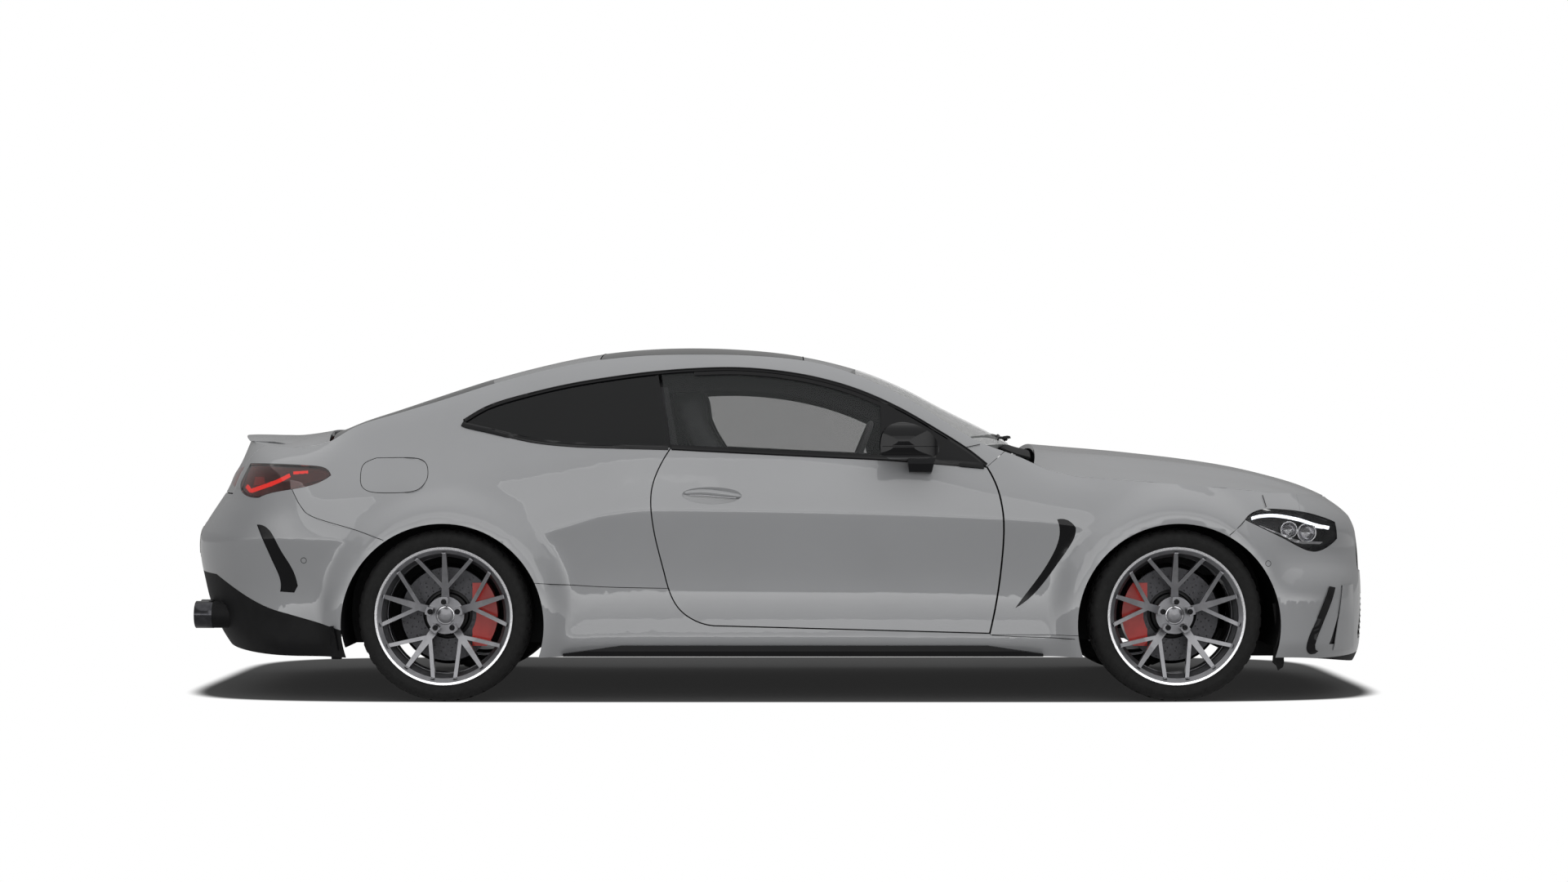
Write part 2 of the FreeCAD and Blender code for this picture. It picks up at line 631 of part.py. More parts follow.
def lid_arm(side):
    """Gooseneck hinge arm: down from its pin under the parcel shelf, back and up to the lid."""
    y = side * across(560)
    x, z = LID_PIN.x, LID_PIN.z
    path = [(0, 7), (-14, 7), (-14, -66), (-86, -66), (-100, 30), (-116, 30), (-100, -82), (14, -82), (14, 7)]
    neck = polygon_prism([(x + dx, z + dz) for dx, dz in path], "Y", y - 12, y + 12)
    eye = Part.makeCylinder(PIN + 7, 24, Vector(x, y - 12, z), Vector(0, 1, 0))
    bore = Part.makeCylinder(PIN + size("pin_clearance"), 60, Vector(x, y - 30, z), Vector(0, 1, 0))
    return neck.fuse(eye).cut(bore)


def make_bonnet():
    stops = spread(930, 2330, 30)
    poles = top_sheet(bonnet_height, stops, bonnet_breadth, steps=12)
    sheet_solid = between(poles, [[p - Vector(0, 0, size("bonnet_thick")) for p in row] for row in poles])
    rim = top_row_curve([c for c in flank if c[0].x > along(BONNET_REAR[0][0])] + nose)
    back = [(along(x), across(-y)) for x, y in BONNET_REAR]
    plan = curve_prism(rim, [(x, y) for x, y in back], 0, 3000, GAP + size("fender_thick"))
    bonnet = one_solid(sheet_solid.common(plan))
    return one_solid(bonnet.fuse([bonnet_arm(s) for s in (1, -1)]))


def make_fender():
    net = [c for c in right_net if c[0].x > along(700)]
    shell = skin(net, 0, size("fender_thick")).common(side_prism(fender_region, shrink=2))
    for cutter in (side_prism(front_bumper_region), side_prism(LAMP_FRONT), side_prism(WING_VENT), arch(FRONT_AXLE)):
        shell = shell.cut(cutter)
    return one_solid(shell)


GRILLE_HALF = [[(100, 716), (-330, 716)], [(-330, 716), (-375, 700), (-400, 655)], [(-400, 655), (-445, 530)],
               [(-445, 530), (-450, 505), (-425, 492)], [(-425, 492), (100, 492)], [(100, 492), (100, 716)]]
LOWER_INTAKE = [[(100, 405), (-440, 405)], [(-440, 405), (-545, 250)], [(-545, 250), (-520, 225)],
                [(-520, 225), (100, 225)], [(100, 225), (100, 405)]]
SIDE_INTAKE = [[(-640, 445), (-757, 452)], [(-757, 452), (-848, 224)], [(-848, 224), (-690, 215)],
               [(-690, 215), (-640, 445)]]
LIP_HEIGHT = 168.0


def make_front_bumper():
    shell = skin(front_net, 0, size("bumper_thick")).common(side_prism(front_bumper_region, shrink=0.4))
    cutters = [side_prism(LAMP_FRONT), arch(FRONT_AXLE), box(0, 3000, -1200, 200, 0, upward(LIP_HEIGHT))]
    for opening in (GRILLE_HALF, LOWER_INTAKE, SIDE_INTAKE):
        cutters.append(front_prism(opening, along(2000), along(2600)))
    for cutter in cutters:
        shell = shell.cut(cutter)
    return whole(shell)


def make_front_lip():
    shell = skin(front_net, 0, size("bumper_thick") + 8).common(side_prism(front_bumper_region, shrink=0.4))
    shell = shell.common(box(0, 3000, -1200, 200, 0, upward(LIP_HEIGHT) - 0.4)).cut(arch(FRONT_AXLE))
    return whole(shell)


def make_rear_bumper():
    shell = skin(rear_net, 0, size("bumper_thick")).common(side_prism(rear_bumper_region, shrink=0.4))
    for cutter in (side_prism(diffuser_region), side_prism(LAMP_REAR), side_prism(BUMPER_VENT), lid_region(),
                   arch(REAR_AXLE)):
        shell = shell.cut(cutter)
    return whole(shell)


def make_diffuser():
    shell = skin(rear_net, 0, size("bumper_thick")).common(side_prism(rear_bumper_region, shrink=0.4))
    shell = shell.common(side_prism(diffuser_region, shrink=0.4)).cut(arch(REAR_AXLE))
    bore, wall = size("tailpipe_radius"), size("tailpipe_wall")
    for y in TAILPIPES:
        shell = shell.cut(tailpipe(y, bore + wall, -2600, -2100))
        shell = shell.fuse(tailpipe(y, bore + wall + 1, -2352, -2190).cut(tailpipe(y, bore, -2352, -2190)))
    return whole(shell)


def make_vent(net, outline, depth):
    return one_solid(skin(net, 3, 3 + depth).common(side_prism(outline, shrink=0.4)))


TAILPIPES = (-475.0, -590.0)
TAILPIPE_HEIGHT = 326.0


def tailpipe(y, radius, start, end):
    return Part.makeCylinder(radius, along(end) - along(start), Vector(along(start), across(y), upward(TAILPIPE_HEIGHT)),
                             Vector(1, 0, 0))


def make_lamp(net, outline, start, thick):
    lens = skin(net, start, thick).common(side_prism(outline, shrink=0.4))
    return one_solid(lens)


def beside(points, away):
    """A run of outline points moved away to the left of its run."""
    moved = []
    for i, (x, z) in enumerate(points):
        (x0, z0), (x1, z1) = points[max(i - 1, 0)], points[min(i + 1, len(points) - 1)]
        run = math.hypot(x1 - x0, z1 - z0)
        moved.append((x - away * (z1 - z0) / run, z + away * (x1 - x0) / run))
    return moved


# The door's glass clears the frame by the panel gap and stands on the door; the quarter glass fills its frame.
GLASS_REAR_FOOT, GLASS_REAR_HEAD, GLASS_FRONT_TIP = (-424, 995.3), (-474, 1296), (821.6, 921.5)
DOOR_GLASS = [[GLASS_FRONT_TIP] + beside(BELT, GAP - SEAT)[1:-1] + [GLASS_REAR_FOOT], [GLASS_REAR_FOOT, GLASS_REAR_HEAD],
              [GLASS_REAR_HEAD] + beside(GLASS_HEAD, -GAP)[6:-1] + [GLASS_FRONT_TIP]]
QUARTER_SIDE = [(-409, 900), (-508, 1400), (-1400, 1400), (-1400, 900)]
GLASS_SET = 3.0


def glass_sheet():
    net = [c for c in right_net if along(-1500) < c[0].x < along(1000)]
    return skin(net, GLASS_SET, GLASS_SET + GLASS)


def make_quarter_glass():
    glass = glass_sheet().common(side_prism(glass_outline, shrink=SEAT))
    return one_solid(glass.common(profile_prism(QUARTER_SIDE, -1200, 0)))


def skirt_side(inset, start, end):
    """The sill blade's side outline, thin at both ends, carried across the car and drawn in by inset."""
    rear, front, high = along(-850) + inset, along(1040) - inset, upward(222) - inset
    tip = upward(190) - inset
    return polygon_prism([(rear, 0), (rear, tip), (along(-620), high), (along(820), high), (front, tip), (front, 0)],
                         "Y", start, end)


def make_bodyside():
    net = [c for c in right_net if c[0].x < along(1300)]
    block = between(net, moved_in(net, side_wall))
    cutters = [side_prism(door_outline), side_prism(glass_outline), side_prism(fender_region),
               side_prism(rear_bumper_region), side_prism(LAMP_REAR), side_prism(FUEL_FLAP), lid_region(),
               arch(REAR_AXLE), arch(FRONT_AXLE),
               skirt_side(0.0, OUTSIDE, across(-800))]
    cutters += [cabin_rebate(*TOPS[name]) for name in TOPS]
    for cutter in cutters:
        block = block.cut(cutter)
    return one_solid(block)


def make_fuel_flap():
    return one_solid(skin(right_net[:60], 0, PANEL - 4).common(side_prism(FUEL_FLAP, shrink=0.4)))


def polygon_prism(points, axis, start, end):
    """A straight-sided outline carried along one axis: points are the other two coordinates in order."""
    place = {"X": lambda p, s: Vector(s, p[0], p[1]), "Y": lambda p, s: Vector(p[0], s, p[1]),
             "Z": lambda p, s: Vector(p[0], p[1], s)}[axis]
    ring = [place(p, start) for p in points]
    face = Part.Face(Part.makePolygon(ring + ring[:1]))
    solid = face.extrude(place((0, 0), end) - place((0, 0), start))
    if solid.Volume < 0:
        solid.reverse()
    return solid


# Structure under the skin.
FLOOR = upward(SILL_FOOT)
THICK = size("floor_thick")
SILL_INNER = across(730.8)
POST = along(906)
TUB_REAR, TUB_FRONT = across(655), across(488)
LEG_IN, LEG_OUT = across(400), across(480)
TUNNEL = 130.0


def make_floor():
    front = box(along(-930), POST, -SILL_INNER, SILL_INNER, FLOOR, FLOOR + THICK)
    riser = box(along(-930) - THICK, along(-930), -across(640), across(640), FLOOR, upward(300) + THICK)
    rear = box(along(-2170), along(-930), -across(640), across(640), upward(300), upward(300) + THICK)
    hump = box(along(-930), POST, -TUNNEL, TUNNEL, FLOOR, upward(360))
    hollow = box(along(-1000), POST + 1, -TUNNEL + 12, TUNNEL - 12, FLOOR - 1, upward(360) - 12)
    return front.fuse([riser, rear, hump, make_rear_beam()]).cut(hollow)


def hinge_cheeks(x, z, y, foot):
    """Two cheeks with a pin across them, standing on a level at foot."""
    cheeks = [box(x - 13, x + 13, y + s * 25 - 5, y + s * 25 + 5, foot, z + 13) for s in (-1, 1)]
    return cheeks + [Part.makeCylinder(PIN, 60, Vector(x, y - 30, z), Vector(0, 1, 0))]


def make_firewall():
    plate = box(POST, POST + THICK, -across(725), across(725), FLOOR, upward(880))
    posts = box(POST, POST + THICK, -across(800), across(800), upward(346), upward(780))
    shelf = box(POST + THICK, along(1050), -across(745), across(745), upward(860), upward(880))
    cheeks = [c for s in (-1, 1) for c in hinge_cheeks(BONNET_PIN_X, BONNET_PIN_Z, s * across(715), upward(870))]
    arms = [hinge_arm(level) for level in HINGE_LEVELS]
    behind_fender = skin([c for c in flank if along(700) < c[0].x < along(1150)], size("fender_thick") + SEAT, 150)
    arms.append(one_solid(box(POST, POST + THICK, OUTSIDE, across(-790), upward(690), upward(720)).common(behind_fender)))
    return one_solid(plate.fuse([posts, shelf] + cheeks + arms + [left_of(a) for a in arms]))


def make_rear_wall():
    wall = box(along(-1040), along(-1040) + THICK, -across(640), across(640), upward(300) + THICK, upward(950))
    shelf = box(along(-1790), along(-1040) + THICK, -across(600), across(600), upward(950), upward(970))
    slots = [box(along(-1800), along(-1718), s * across(560) - 20, s * across(560) + 20, 0, 2000) for s in (-1, 1)]
    cheeks = [c for s in (-1, 1) for c in hinge_cheeks(LID_PIN.x, LID_PIN.z, s * across(560), upward(960))]
    return one_solid(wall.fuse(shelf).cut(Part.makeCompound(slots)).fuse(cheeks))


def make_front_rails():
    rails = [box(POST + THICK, along(2210), s * (LEG_IN if s > 0 else LEG_OUT), s * (LEG_OUT if s > 0 else LEG_IN),
                 upward(480), upward(580)) for s in (1, -1)]
    beam = box(along(2210), along(2250), -across(500), across(500), upward(470), upward(590))
    return beam.fuse(rails)


def make_rear_beam():
    legs = [box(along(-2230), along(-2130), s * across(350) - 40, s * across(350) + 40, upward(300), upward(400))
            for s in (1, -1)]
    beam = box(along(-2258), along(-2222), -across(400), across(400), upward(350), upward(470))
    return beam.fuse(legs)


def make_liner(axle, inner, radius, hole, side):
    """Liner bowl round one wheel, with a hole in its inner wall for the axle."""
    net = [c for c in right_net if abs(c[0].x - axle) < 620]
    within = between(inward(net, PANEL + 1), moved_in(net, lambda p: 480.0))
    centre = Vector(axle, -across(950), WHEEL_HEIGHT)
    width = across(950) - inner
    ring = Part.makeCylinder(radius + size("liner_thick"), width, centre, Vector(0, 1, 0))
    bore = Part.makeCylinder(radius, width - size("liner_thick"), centre, Vector(0, 1, 0))
    ring = ring.cut(bore).common(box(axle - 700, axle + 700, -1200, 0, FLOOR + 40, 2000))
    passage = Part.makeCylinder(hole, 2 * width, centre, Vector(0, 1, 0))
    return one_solid(ring.common(within).cut(side).cut(passage))


def profile_prism(points, start, end):
    return polygon_prism([(along(x), upward(z)) for x, z in points], "Y", across(start), across(end))


SEAT_SIDE = [(-120, 330), (380, 350), (410, 390), (400, 440), (300, 455), (-30, 440), (-60, 480), (-268, 1030),
             (-290, 1050), (-300, 1235), (-330, 1255), (-400, 1240), (-420, 1040), (-380, 1000), (-200, 440),
             (-190, 350)]
BENCH_SIDE = [(-1019.7, 320.3), (-925, 320.3), (-560, 300), (-480, 330), (-470, 420), (-500, 450), (-830, 420), (-960, 900), (-990, 930),
              (-1019.7, 920)]
DASH_SIDE = [(905.7, 560), (905.7, 878), (860, 925), (700, 915), (610, 870), (590, 780), (640, 700), (700, 600)]


def make_seats():
    half = size("seat_width") / 2
    seats = []
    for side in (-1, 1):
        y = side * 385
        body = profile_prism(SEAT_SIDE, y - half, y + half)
        runners = [box(along(-100), along(330), across(y + s * 190) - 15, across(y + s * 190) + 15, FLOOR + THICK,
                       upward(345)) for s in (-1, 1)]
        seats.append(one_solid(body.fuse(runners)))
    return Part.makeCompound(seats)


BONNET_PIN_Z = upward(930)
BONNET_PIN_X = along(930)
LID_PIN = Vector(along(-1740), 0, upward(1000))


def bonnet_arm(side):
    y = side * across(715)
    eye = Part.makeCylinder(PIN + 7, 24, Vector(BONNET_PIN_X, y - 12, BONNET_PIN_Z), Vector(0, 1, 0))
    strap = polygon_prism([(BONNET_PIN_X, BONNET_PIN_Z - 8), (BONNET_PIN_X, BONNET_PIN_Z + 8),
                           (along(1090), upward(914)), (along(1090), upward(898))], "Y", y - 12, y + 12)
    bore = Part.makeCylinder(PIN + size("pin_clearance"), 60, Vector(BONNET_PIN_X, y - 30, BONNET_PIN_Z),
                             Vector(0, 1, 0))
    return eye.fuse(strap).cut(bore)


def make_cowl():
    """Black scuttle panel between the bonnet and the windscreen."""
    front = [(x - 7, y) for x, y in BONNET_REAR[1:-1]]
    foot = SCREEN_FOOT[1:-1]
    stops = spread(860, 1050, 8)
    upper = top_sheet(lambda x, share: cabin_height(min(x, 955), share) - 8 - 0.25 * max(x - 955, 0), stops, edge_breadth)
    panel = between(upper, [[p - Vector(0, 0, 6) for p in row] for row in upper])
    return one_solid(panel.common(plan_prism(across_plan(front, foot), 0, upward(1600))))


def make_skirt():
    outline = [(across(-800.3), FLOOR), (across(-800.3), upward(222)), (across(-905), upward(222)),
               (across(-916), upward(200)), (across(-900), FLOOR)]
    blade = polygon_prism(outline, "X", along(-905), along(1160))
    return one_solid(blade.common(skirt_side(0.3, OUTSIDE, across(-700))))


GRILLE_SLATS = 15


def make_grille():
    """Upright slats in a frame, behind the nose's opening."""
    near, far = size("bumper_thick") + SEAT, size("bumper_thick") + 22
    region = front_prism(GRILLE_HALF, along(2200), along(2600), shrink=-14)
    inner = front_prism(GRILLE_HALF, along(2200), along(2600), shrink=4)
    band = skin(front_net, near, far).common(region)
    frame = band.cut(inner)
    pitch = across(880) / GRILLE_SLATS
    slats = []
    for k in range(GRILLE_SLATS // 2 + 1):
        y = -k * pitch
        slats.append(band.common(box(along(2200), along(2600), y - 5, y + 5, upward(480), upward(725))))
    return whole(one_solid(frame.fuse(slats)))


def make_lower_grille():
    """The mesh panels behind the lower intake and the side intakes."""
    band = skin(front_net, size("bumper_thick") + SEAT, size("bumper_thick") + 8)
    middle = whole(one_solid(band.common(front_prism(LOWER_INTAKE, along(2100), along(2600), shrink=-14))))
    end = one_solid(band.common(front_prism(SIDE_INTAKE, along(1900), along(2600), shrink=-14)))
    return Part.makeCompound([middle, end, left_of(end)])


MIRROR_SIDE = [[(399, 975), (396, 1030), (420, 1080), (470, 1100), (530, 1092), (585, 1062), (620, 1018), (625, 985)],
               [(625, 985), (600, 965), (560, 958), (430, 958), (399, 975)]]
MIRROR_FRONT = [[(-1060, 1010), (-1050, 1065), (-1010, 1096), (-960, 1101), (-925, 1085), (-905, 1040), (-903, 1000)],
                [(-903, 1000), (-915, 968), (-960, 957), (-1020, 962), (-1052, 980), (-1060, 1010)]]
MIRROR_PLAN = [[(390, -1052), (390, -898)], [(390, -898), (480, -890), (560, -905), (610, -945), (628, -985)],
               [(628, -985), (600, -1035), (540, -1058), (460, -1062), (390, -1052)]]
MIRROR_RIM = 9.0
MIRROR_POCKET = along(418)


def make_mirror(door, glass):
    """The right door's mirror: domed housing with a pocket for its pane, on an arm shaped to the door."""
    housing = side_prism(MIRROR_SIDE).common(front_prism(MIRROR_FRONT, along(380), along(640)))
    housing = housing.common(plan_prism(MIRROR_PLAN, upward(940), upward(1110)))
    housing = housing.cut(front_prism(MIRROR_FRONT, along(370), MIRROR_POCKET, MIRROR_RIM))
    arm = polygon_prism([(along(515), upward(892)), (along(600), upward(892)), (along(616), upward(985)),
                         (along(498), upward(985))], "Y", across(-990), across(-840))
    reach = polygon_prism([(across(-840), upward(896)), (across(-890), upward(905)), (across(-935), upward(938)),
                           (across(-988), upward(962)), (across(-988), upward(982)), (across(-915), upward(976)),
                           (across(-840), upward(948))], "X", along(480), along(640))
    return one_solid(housing.fuse(arm.common(reach)).cut(door).cut(glass))


# Running gear. A wheel is drawn with its own outer face toward -Y and its centre at the origin.
def body(name):
    return doc.addObject("PartDesign::Body", name)


def plane(owner, role):
    return next(f for f in owner.Origin.OriginFeatures if f.Role == role)


def sketch(owner, name, role, points, offset=0.0):
    """A closed sketch of straight runs on one of the body's own planes."""
    drawn = owner.newObject("Sketcher::SketchObject", name)
    drawn.AttachmentSupport = (plane(owner, role), "")
    drawn.MapMode = "FlatFace"
    drawn.AttachmentOffset = Placement(Vector(0, 0, offset), Rotation())
    ring = [Vector(u, v, 0) for u, v in points]
    for p, q in zip(ring, ring[1:] + ring[:1]):
        drawn.addGeometry(Part.LineSegment(p, q), False)
    return drawn


def spin(owner, name, role, points, axis):
    turned = owner.newObject("PartDesign::Revolution", name + "_turn")
    turned.Profile = sketch(owner, name, role, points)
    turned.ReferenceAxis = (plane(owner, axis), [""])
    turned.Angle = 360
    return turned


HALF = size("tyre_width") / 2
HUB_FACE = -20.0
CAP_DEPTH = 8.0


def tyre_profile():
    seat, tread = size("rim_radius"), size("tyre_radius")
    bead, lip = seat + SEAT, seat + 17 + 0.4
    return [(bead, -HALF + 15.6), (lip, -HALF + 10.6), (lip, -HALF + 6), (bead + 42, -HALF), (tread - 22, -HALF + 6),
            (tread - 5, -HALF + 22), (tread, -HALF + 44), (tread, HALF - 44), (tread - 5, HALF - 22),
            (tread - 22, HALF - 6), (bead + 42, HALF), (lip, HALF - 6), (lip, HALF - 10.6), (bead, HALF - 15.6),
            (bead, HALF - 40), (bead + 24, HALF - 34), (tread - 24, HALF - 20), (tread - 14, HALF - 46),
            (tread - 14, -HALF + 46), (tread - 24, -HALF + 20), (bead + 24, -HALF + 34), (bead, -HALF + 40)]


def barrel_profile():
    seat, wall = size("rim_radius"), size("rim_barrel_thick")
    well = seat - 15
    outer = [(seat + 17, -HALF + 4), (seat + 17, -HALF + 10), (seat, -HALF + 15), (seat, -HALF + 42), (well, -HALF + 62),
             (well, HALF - 90), (seat, HALF - 46), (seat, HALF - 15), (seat + 17, HALF - 10), (seat + 17, HALF - 4)]
    inner = [(seat + 6, HALF - 4), (seat - wall, HALF - 18), (seat - wall, HALF - 48), (well - wall, HALF - 92),
             (well - wall, -HALF + 62), (seat - wall, -HALF + 40), (seat - wall, -HALF + 18), (seat + 6, -HALF + 4)]
    return outer + inner


def pad(owner, name, points, start, length):
    made = owner.newObject("PartDesign::Pad", name + "_pad")
    made.Profile = sketch(owner, name, "XZ_Plane", points, start)
    made.Length = length
    return made


def pattern(owner, name, originals, count):
    made = owner.newObject("PartDesign::PolarPattern", name)
    made.Originals = originals
    made.Axis = (plane(owner, "Y_Axis"), [""])
    made.Angle = 360
    made.Occurrences = count
    owner.Tip = made
    return made


def groove(owner, name, points):
    made = owner.newObject("PartDesign::Groove", name + "_groove")
    made.Profile = sketch(owner, name, "XY_Plane", points)
    made.ReferenceAxis = (plane(owner, "Y_Axis"), [""])
    made.Angle = 360
    owner.Tip = made
    return made


def spoke_outline(start, end, wide_start, wide_end):
    way = (end - start).normalize()
    side = Vector(-way.y, way.x, 0)
    corners = [start + side * wide_start, start - side * wide_start, end - side * wide_end, end + side * wide_end]
    return [(p.x, p.y) for p in corners]


def make_rim():
    rim = body("rim_master")
    spin(rim, "barrel", "XY_Plane", barrel_profile(), "Y_Axis")
    hub, face = size("hub_radius"), HUB_FACE - size("hub_depth")
    bore, cap = size("spindle_radius") + SEAT, size("centre_cap_radius")
    spin(rim, "hub", "XY_Plane", [
        (bore, HUB_FACE), (hub, HUB_FACE), (hub, face), (cap + 4, face), (cap, face + 6), (0, face + 6),
        (0, face + 6 + CAP_DEPTH), (bore, face + 6 + CAP_DEPTH)], "Y_Axis")
    reach, fork, half = size("rim_radius") - 5, size("spoke_fork_radius"), size("spoke_width") / 2
    lean = math.radians(26)
    fork_root = Vector(8, fork - 30, 0)
    tip = Vector(reach * math.sin(lean), reach * math.cos(lean), 0)
    arms = [pad(rim, "middle_spoke", spoke_outline(Vector(0, 50, 0), Vector(0, reach, 0), half + 9, half), 36, 90),
            pad(rim, "right_spoke", spoke_outline(fork_root, tip, half, half), 36, 90),
            pad(rim, "left_spoke", spoke_outline(Vector(-8, fork - 30, 0), Vector(-tip.x, tip.y, 0), half, half), 36, 90)]
    pattern(rim, "spokes", arms, 5)
    deep, edge = size("spoke_depth"), size("rim_radius") - size("rim_barrel_thick")
    face_line = [(hub + 1, face), (hub + 80, face - 16), (edge, -HALF + 22)]
    groove(rim, "face", face_line + [(edge, -HALF - 10), (hub + 1, -HALF - 10)])
    back_line = [(hub + 1, face + deep), (hub + 80, face - 16 + deep), (edge - 14, -HALF + 34 + deep)]
    groove(rim, "back", back_line + [(edge - 14, -30), (hub + 1, -30)])
    bolts = rim.newObject("PartDesign::Pocket", "bolt_pocket")
    seat = rim.newObject("Sketcher::SketchObject", "bolt_seat")
    seat.AttachmentSupport = (plane(rim, "XZ_Plane"), "")
    seat.MapMode = "FlatFace"
    seat.AttachmentOffset = Placement(Vector(0, 0, -face + 5), Rotation())
    seat.addGeometry(Part.Circle(Vector(0, size("stud_circle") / 2, 0), Vector(0, 0, 1), size("stud_radius") + 6), False)
    bolts.Profile = seat
    bolts.Length = 24
    pattern(rim, "bolt_circle", [bolts], 5)
    return rim


def make_disc():
    disc = body("disc_master")
    bore, bell, wall = size("spindle_radius") + SEAT, size("disc_bell_radius"), 8
    near, far = HUB_FACE + size("disc_bell_depth"), HUB_FACE + size("disc_bell_depth") + size("disc_thick")
    spin(disc, "rotor", "XY_Plane", [
        (bore, HUB_FACE), (bell, HUB_FACE), (bell, near), (size("disc_radius"), near), (size("disc_radius"), far),
        (bell - wall, far), (bell - wall, HUB_FACE + wall), (bore, HUB_FACE + wall)], "Y_Axis")
    return disc


def make_tyre():
    tyre = body("tyre_master")
    spin(tyre, "casing", "XY_Plane", tyre_profile(), "Y_Axis")
    return tyre


DISC_NEAR = HUB_FACE + size("disc_bell_depth")
DISC_FAR = DISC_NEAR + size("disc_thick")
CARRIER_NEAR, CARRIER_FAR = DISC_FAR + 8, DISC_FAR + 44
STEER_OFFSET = (CARRIER_NEAR + CARRIER_FAR) / 2


def make_caliper(way):
    """A caliper over the disc on the way (+1 ahead, -1 behind) side of the hub."""
    outer, inner = size("disc_radius") + 15, 116
    near, far = -2.0, CARRIER_FAR - 16
    ring = Part.makeCylinder(outer, far - near, Vector(0, near, 0), Vector(0, 1, 0))
    ring = ring.cut(Part.makeCylinder(inner, 200, Vector(0, -50, 0), Vector(0, 1, 0)))
    ring = ring.cut(Part.makeCylinder(size("disc_radius") + 6, size("disc_thick") + 12, Vector(0, DISC_NEAR - 6, 0),
                                      Vector(0, 1, 0)))
    half = size("caliper_length") / 2
    return one_solid(ring.common(box(way * 100 if way > 0 else -300, 300 if way > 0 else -100, -200, 200, -half, half)))


def make_carrier(way, eyes):
    """Spindle, bearing housing and upright of one wheel, with the caliper's bracket on its way side."""
    spindle = Part.makeCylinder(size("spindle_radius"), CARRIER_FAR + 46, Vector(0, -46, 0), Vector(0, 1, 0))
    housing = Part.makeCylinder(62, CARRIER_FAR - CARRIER_NEAR, Vector(0, CARRIER_NEAR, 0), Vector(0, 1, 0))
    post = box(-26, 26, CARRIER_NEAR, CARRIER_FAR, LOWER_EYE - WHEEL_HEIGHT, UPPER_EYE - WHEEL_HEIGHT)
    bracket = box(-170 if way < 0 else 20, -20 if way < 0 else 170, CARRIER_FAR - 16 + SEAT, CARRIER_FAR, -34, 34)
    carrier = spindle.fuse([housing, post, bracket])
    for level in (LOWER_EYE, UPPER_EYE - 34) if eyes else ():
        carrier = carrier.cut(Part.makeCylinder(10 + size("pin_clearance"), 34,
                                                Vector(0, STEER_OFFSET, level - WHEEL_HEIGHT)))
    return one_solid(carrier)


LOWER_EYE, UPPER_EYE = upward(224), upward(530)


def at_wheel(shape, axle, side):
    placed = shape.copy()
    placed.translate(Vector(axle, -WHEEL_PLANE, WHEEL_HEIGHT))
    return placed if side < 0 else left_of(placed)


STEER_Y = WHEEL_PLANE - STEER_OFFSET


def make_front_axle():
    member = box(FRONT_AXLE - 80, FRONT_AXLE + 80, -across(440), across(440), upward(180), upward(250))
    pieces = []
    for s in (-1, 1):
        y0, y1 = sorted((s * across(400), s * across(440)))
        pieces.append(box(FRONT_AXLE - 80, FRONT_AXLE + 80, y0, y1, upward(240), upward(480)))
        for low, pin, inner in ((upward(190), upward(218), across(430)), (upward(536), upward(502), across(480))):
            foot = Vector(FRONT_AXLE, s * STEER_Y, low)
            pieces.append(Part.makeCylinder(22, 24, foot))
            y0, y1 = sorted((s * inner, s * STEER_Y))
            pieces.append(box(FRONT_AXLE - 20, FRONT_AXLE + 20, y0, y1, low, low + 24))
            start, end = (low + 20, LOWER_EYE + 30) if pin < upward(400) else (UPPER_EYE - 30, low + 4)
            pieces.append(Part.makeCylinder(10, end - start, Vector(FRONT_AXLE, s * STEER_Y, start)))
    return one_solid(member.fuse(pieces))


def make_rear_axle():
    member = box(REAR_AXLE - 90, REAR_AXLE + 90, -across(520), across(520), upward(215), upward(285))
    casing = Part.makeCylinder(100, 200, Vector(REAR_AXLE, -100, WHEEL_HEIGHT - 40), Vector(0, 1, 0))
    casing = casing.common(box(REAR_AXLE - 200, REAR_AXLE + 200, -300, 300, 0, upward(299)))
    pieces = [casing]
    for s in (-1, 1):
        y0, y1 = sorted((s * across(500), s * (WHEEL_PLANE - CARRIER_NEAR)))
        pieces.append(box(REAR_AXLE - 24, REAR_AXLE + 24, y0, y1, LOWER_EYE, LOWER_EYE + 30))
        y0, y1 = sorted((s * across(440), s * across(500)))
        pieces.append(box(REAR_AXLE - 80, REAR_AXLE + 80, y0, y1, upward(280), upward(300)))
        pieces.append(at_wheel(make_carrier(1, False), REAR_AXLE, s))
    return one_solid(member.fuse(pieces))


def make_exhaust():
    """The silencer across the car under the boot floor, its ends rounded, with a stub for each pair of pipes."""
    can = box(along(-2110), along(-1850), across(-520), across(520), upward(200), upward(300) - 0.3)
    can = can.makeFillet(34, [e for e in can.Edges if abs(e.tangentAt(e.FirstParameter).z) > 0.9])
    stubs = [Part.makeCylinder(24, 60, Vector(along(-1860), across(y), upward(250)), Vector(1, 0, 0)) for y in (-300, 300)]
    return one_solid(can.fuse(stubs))


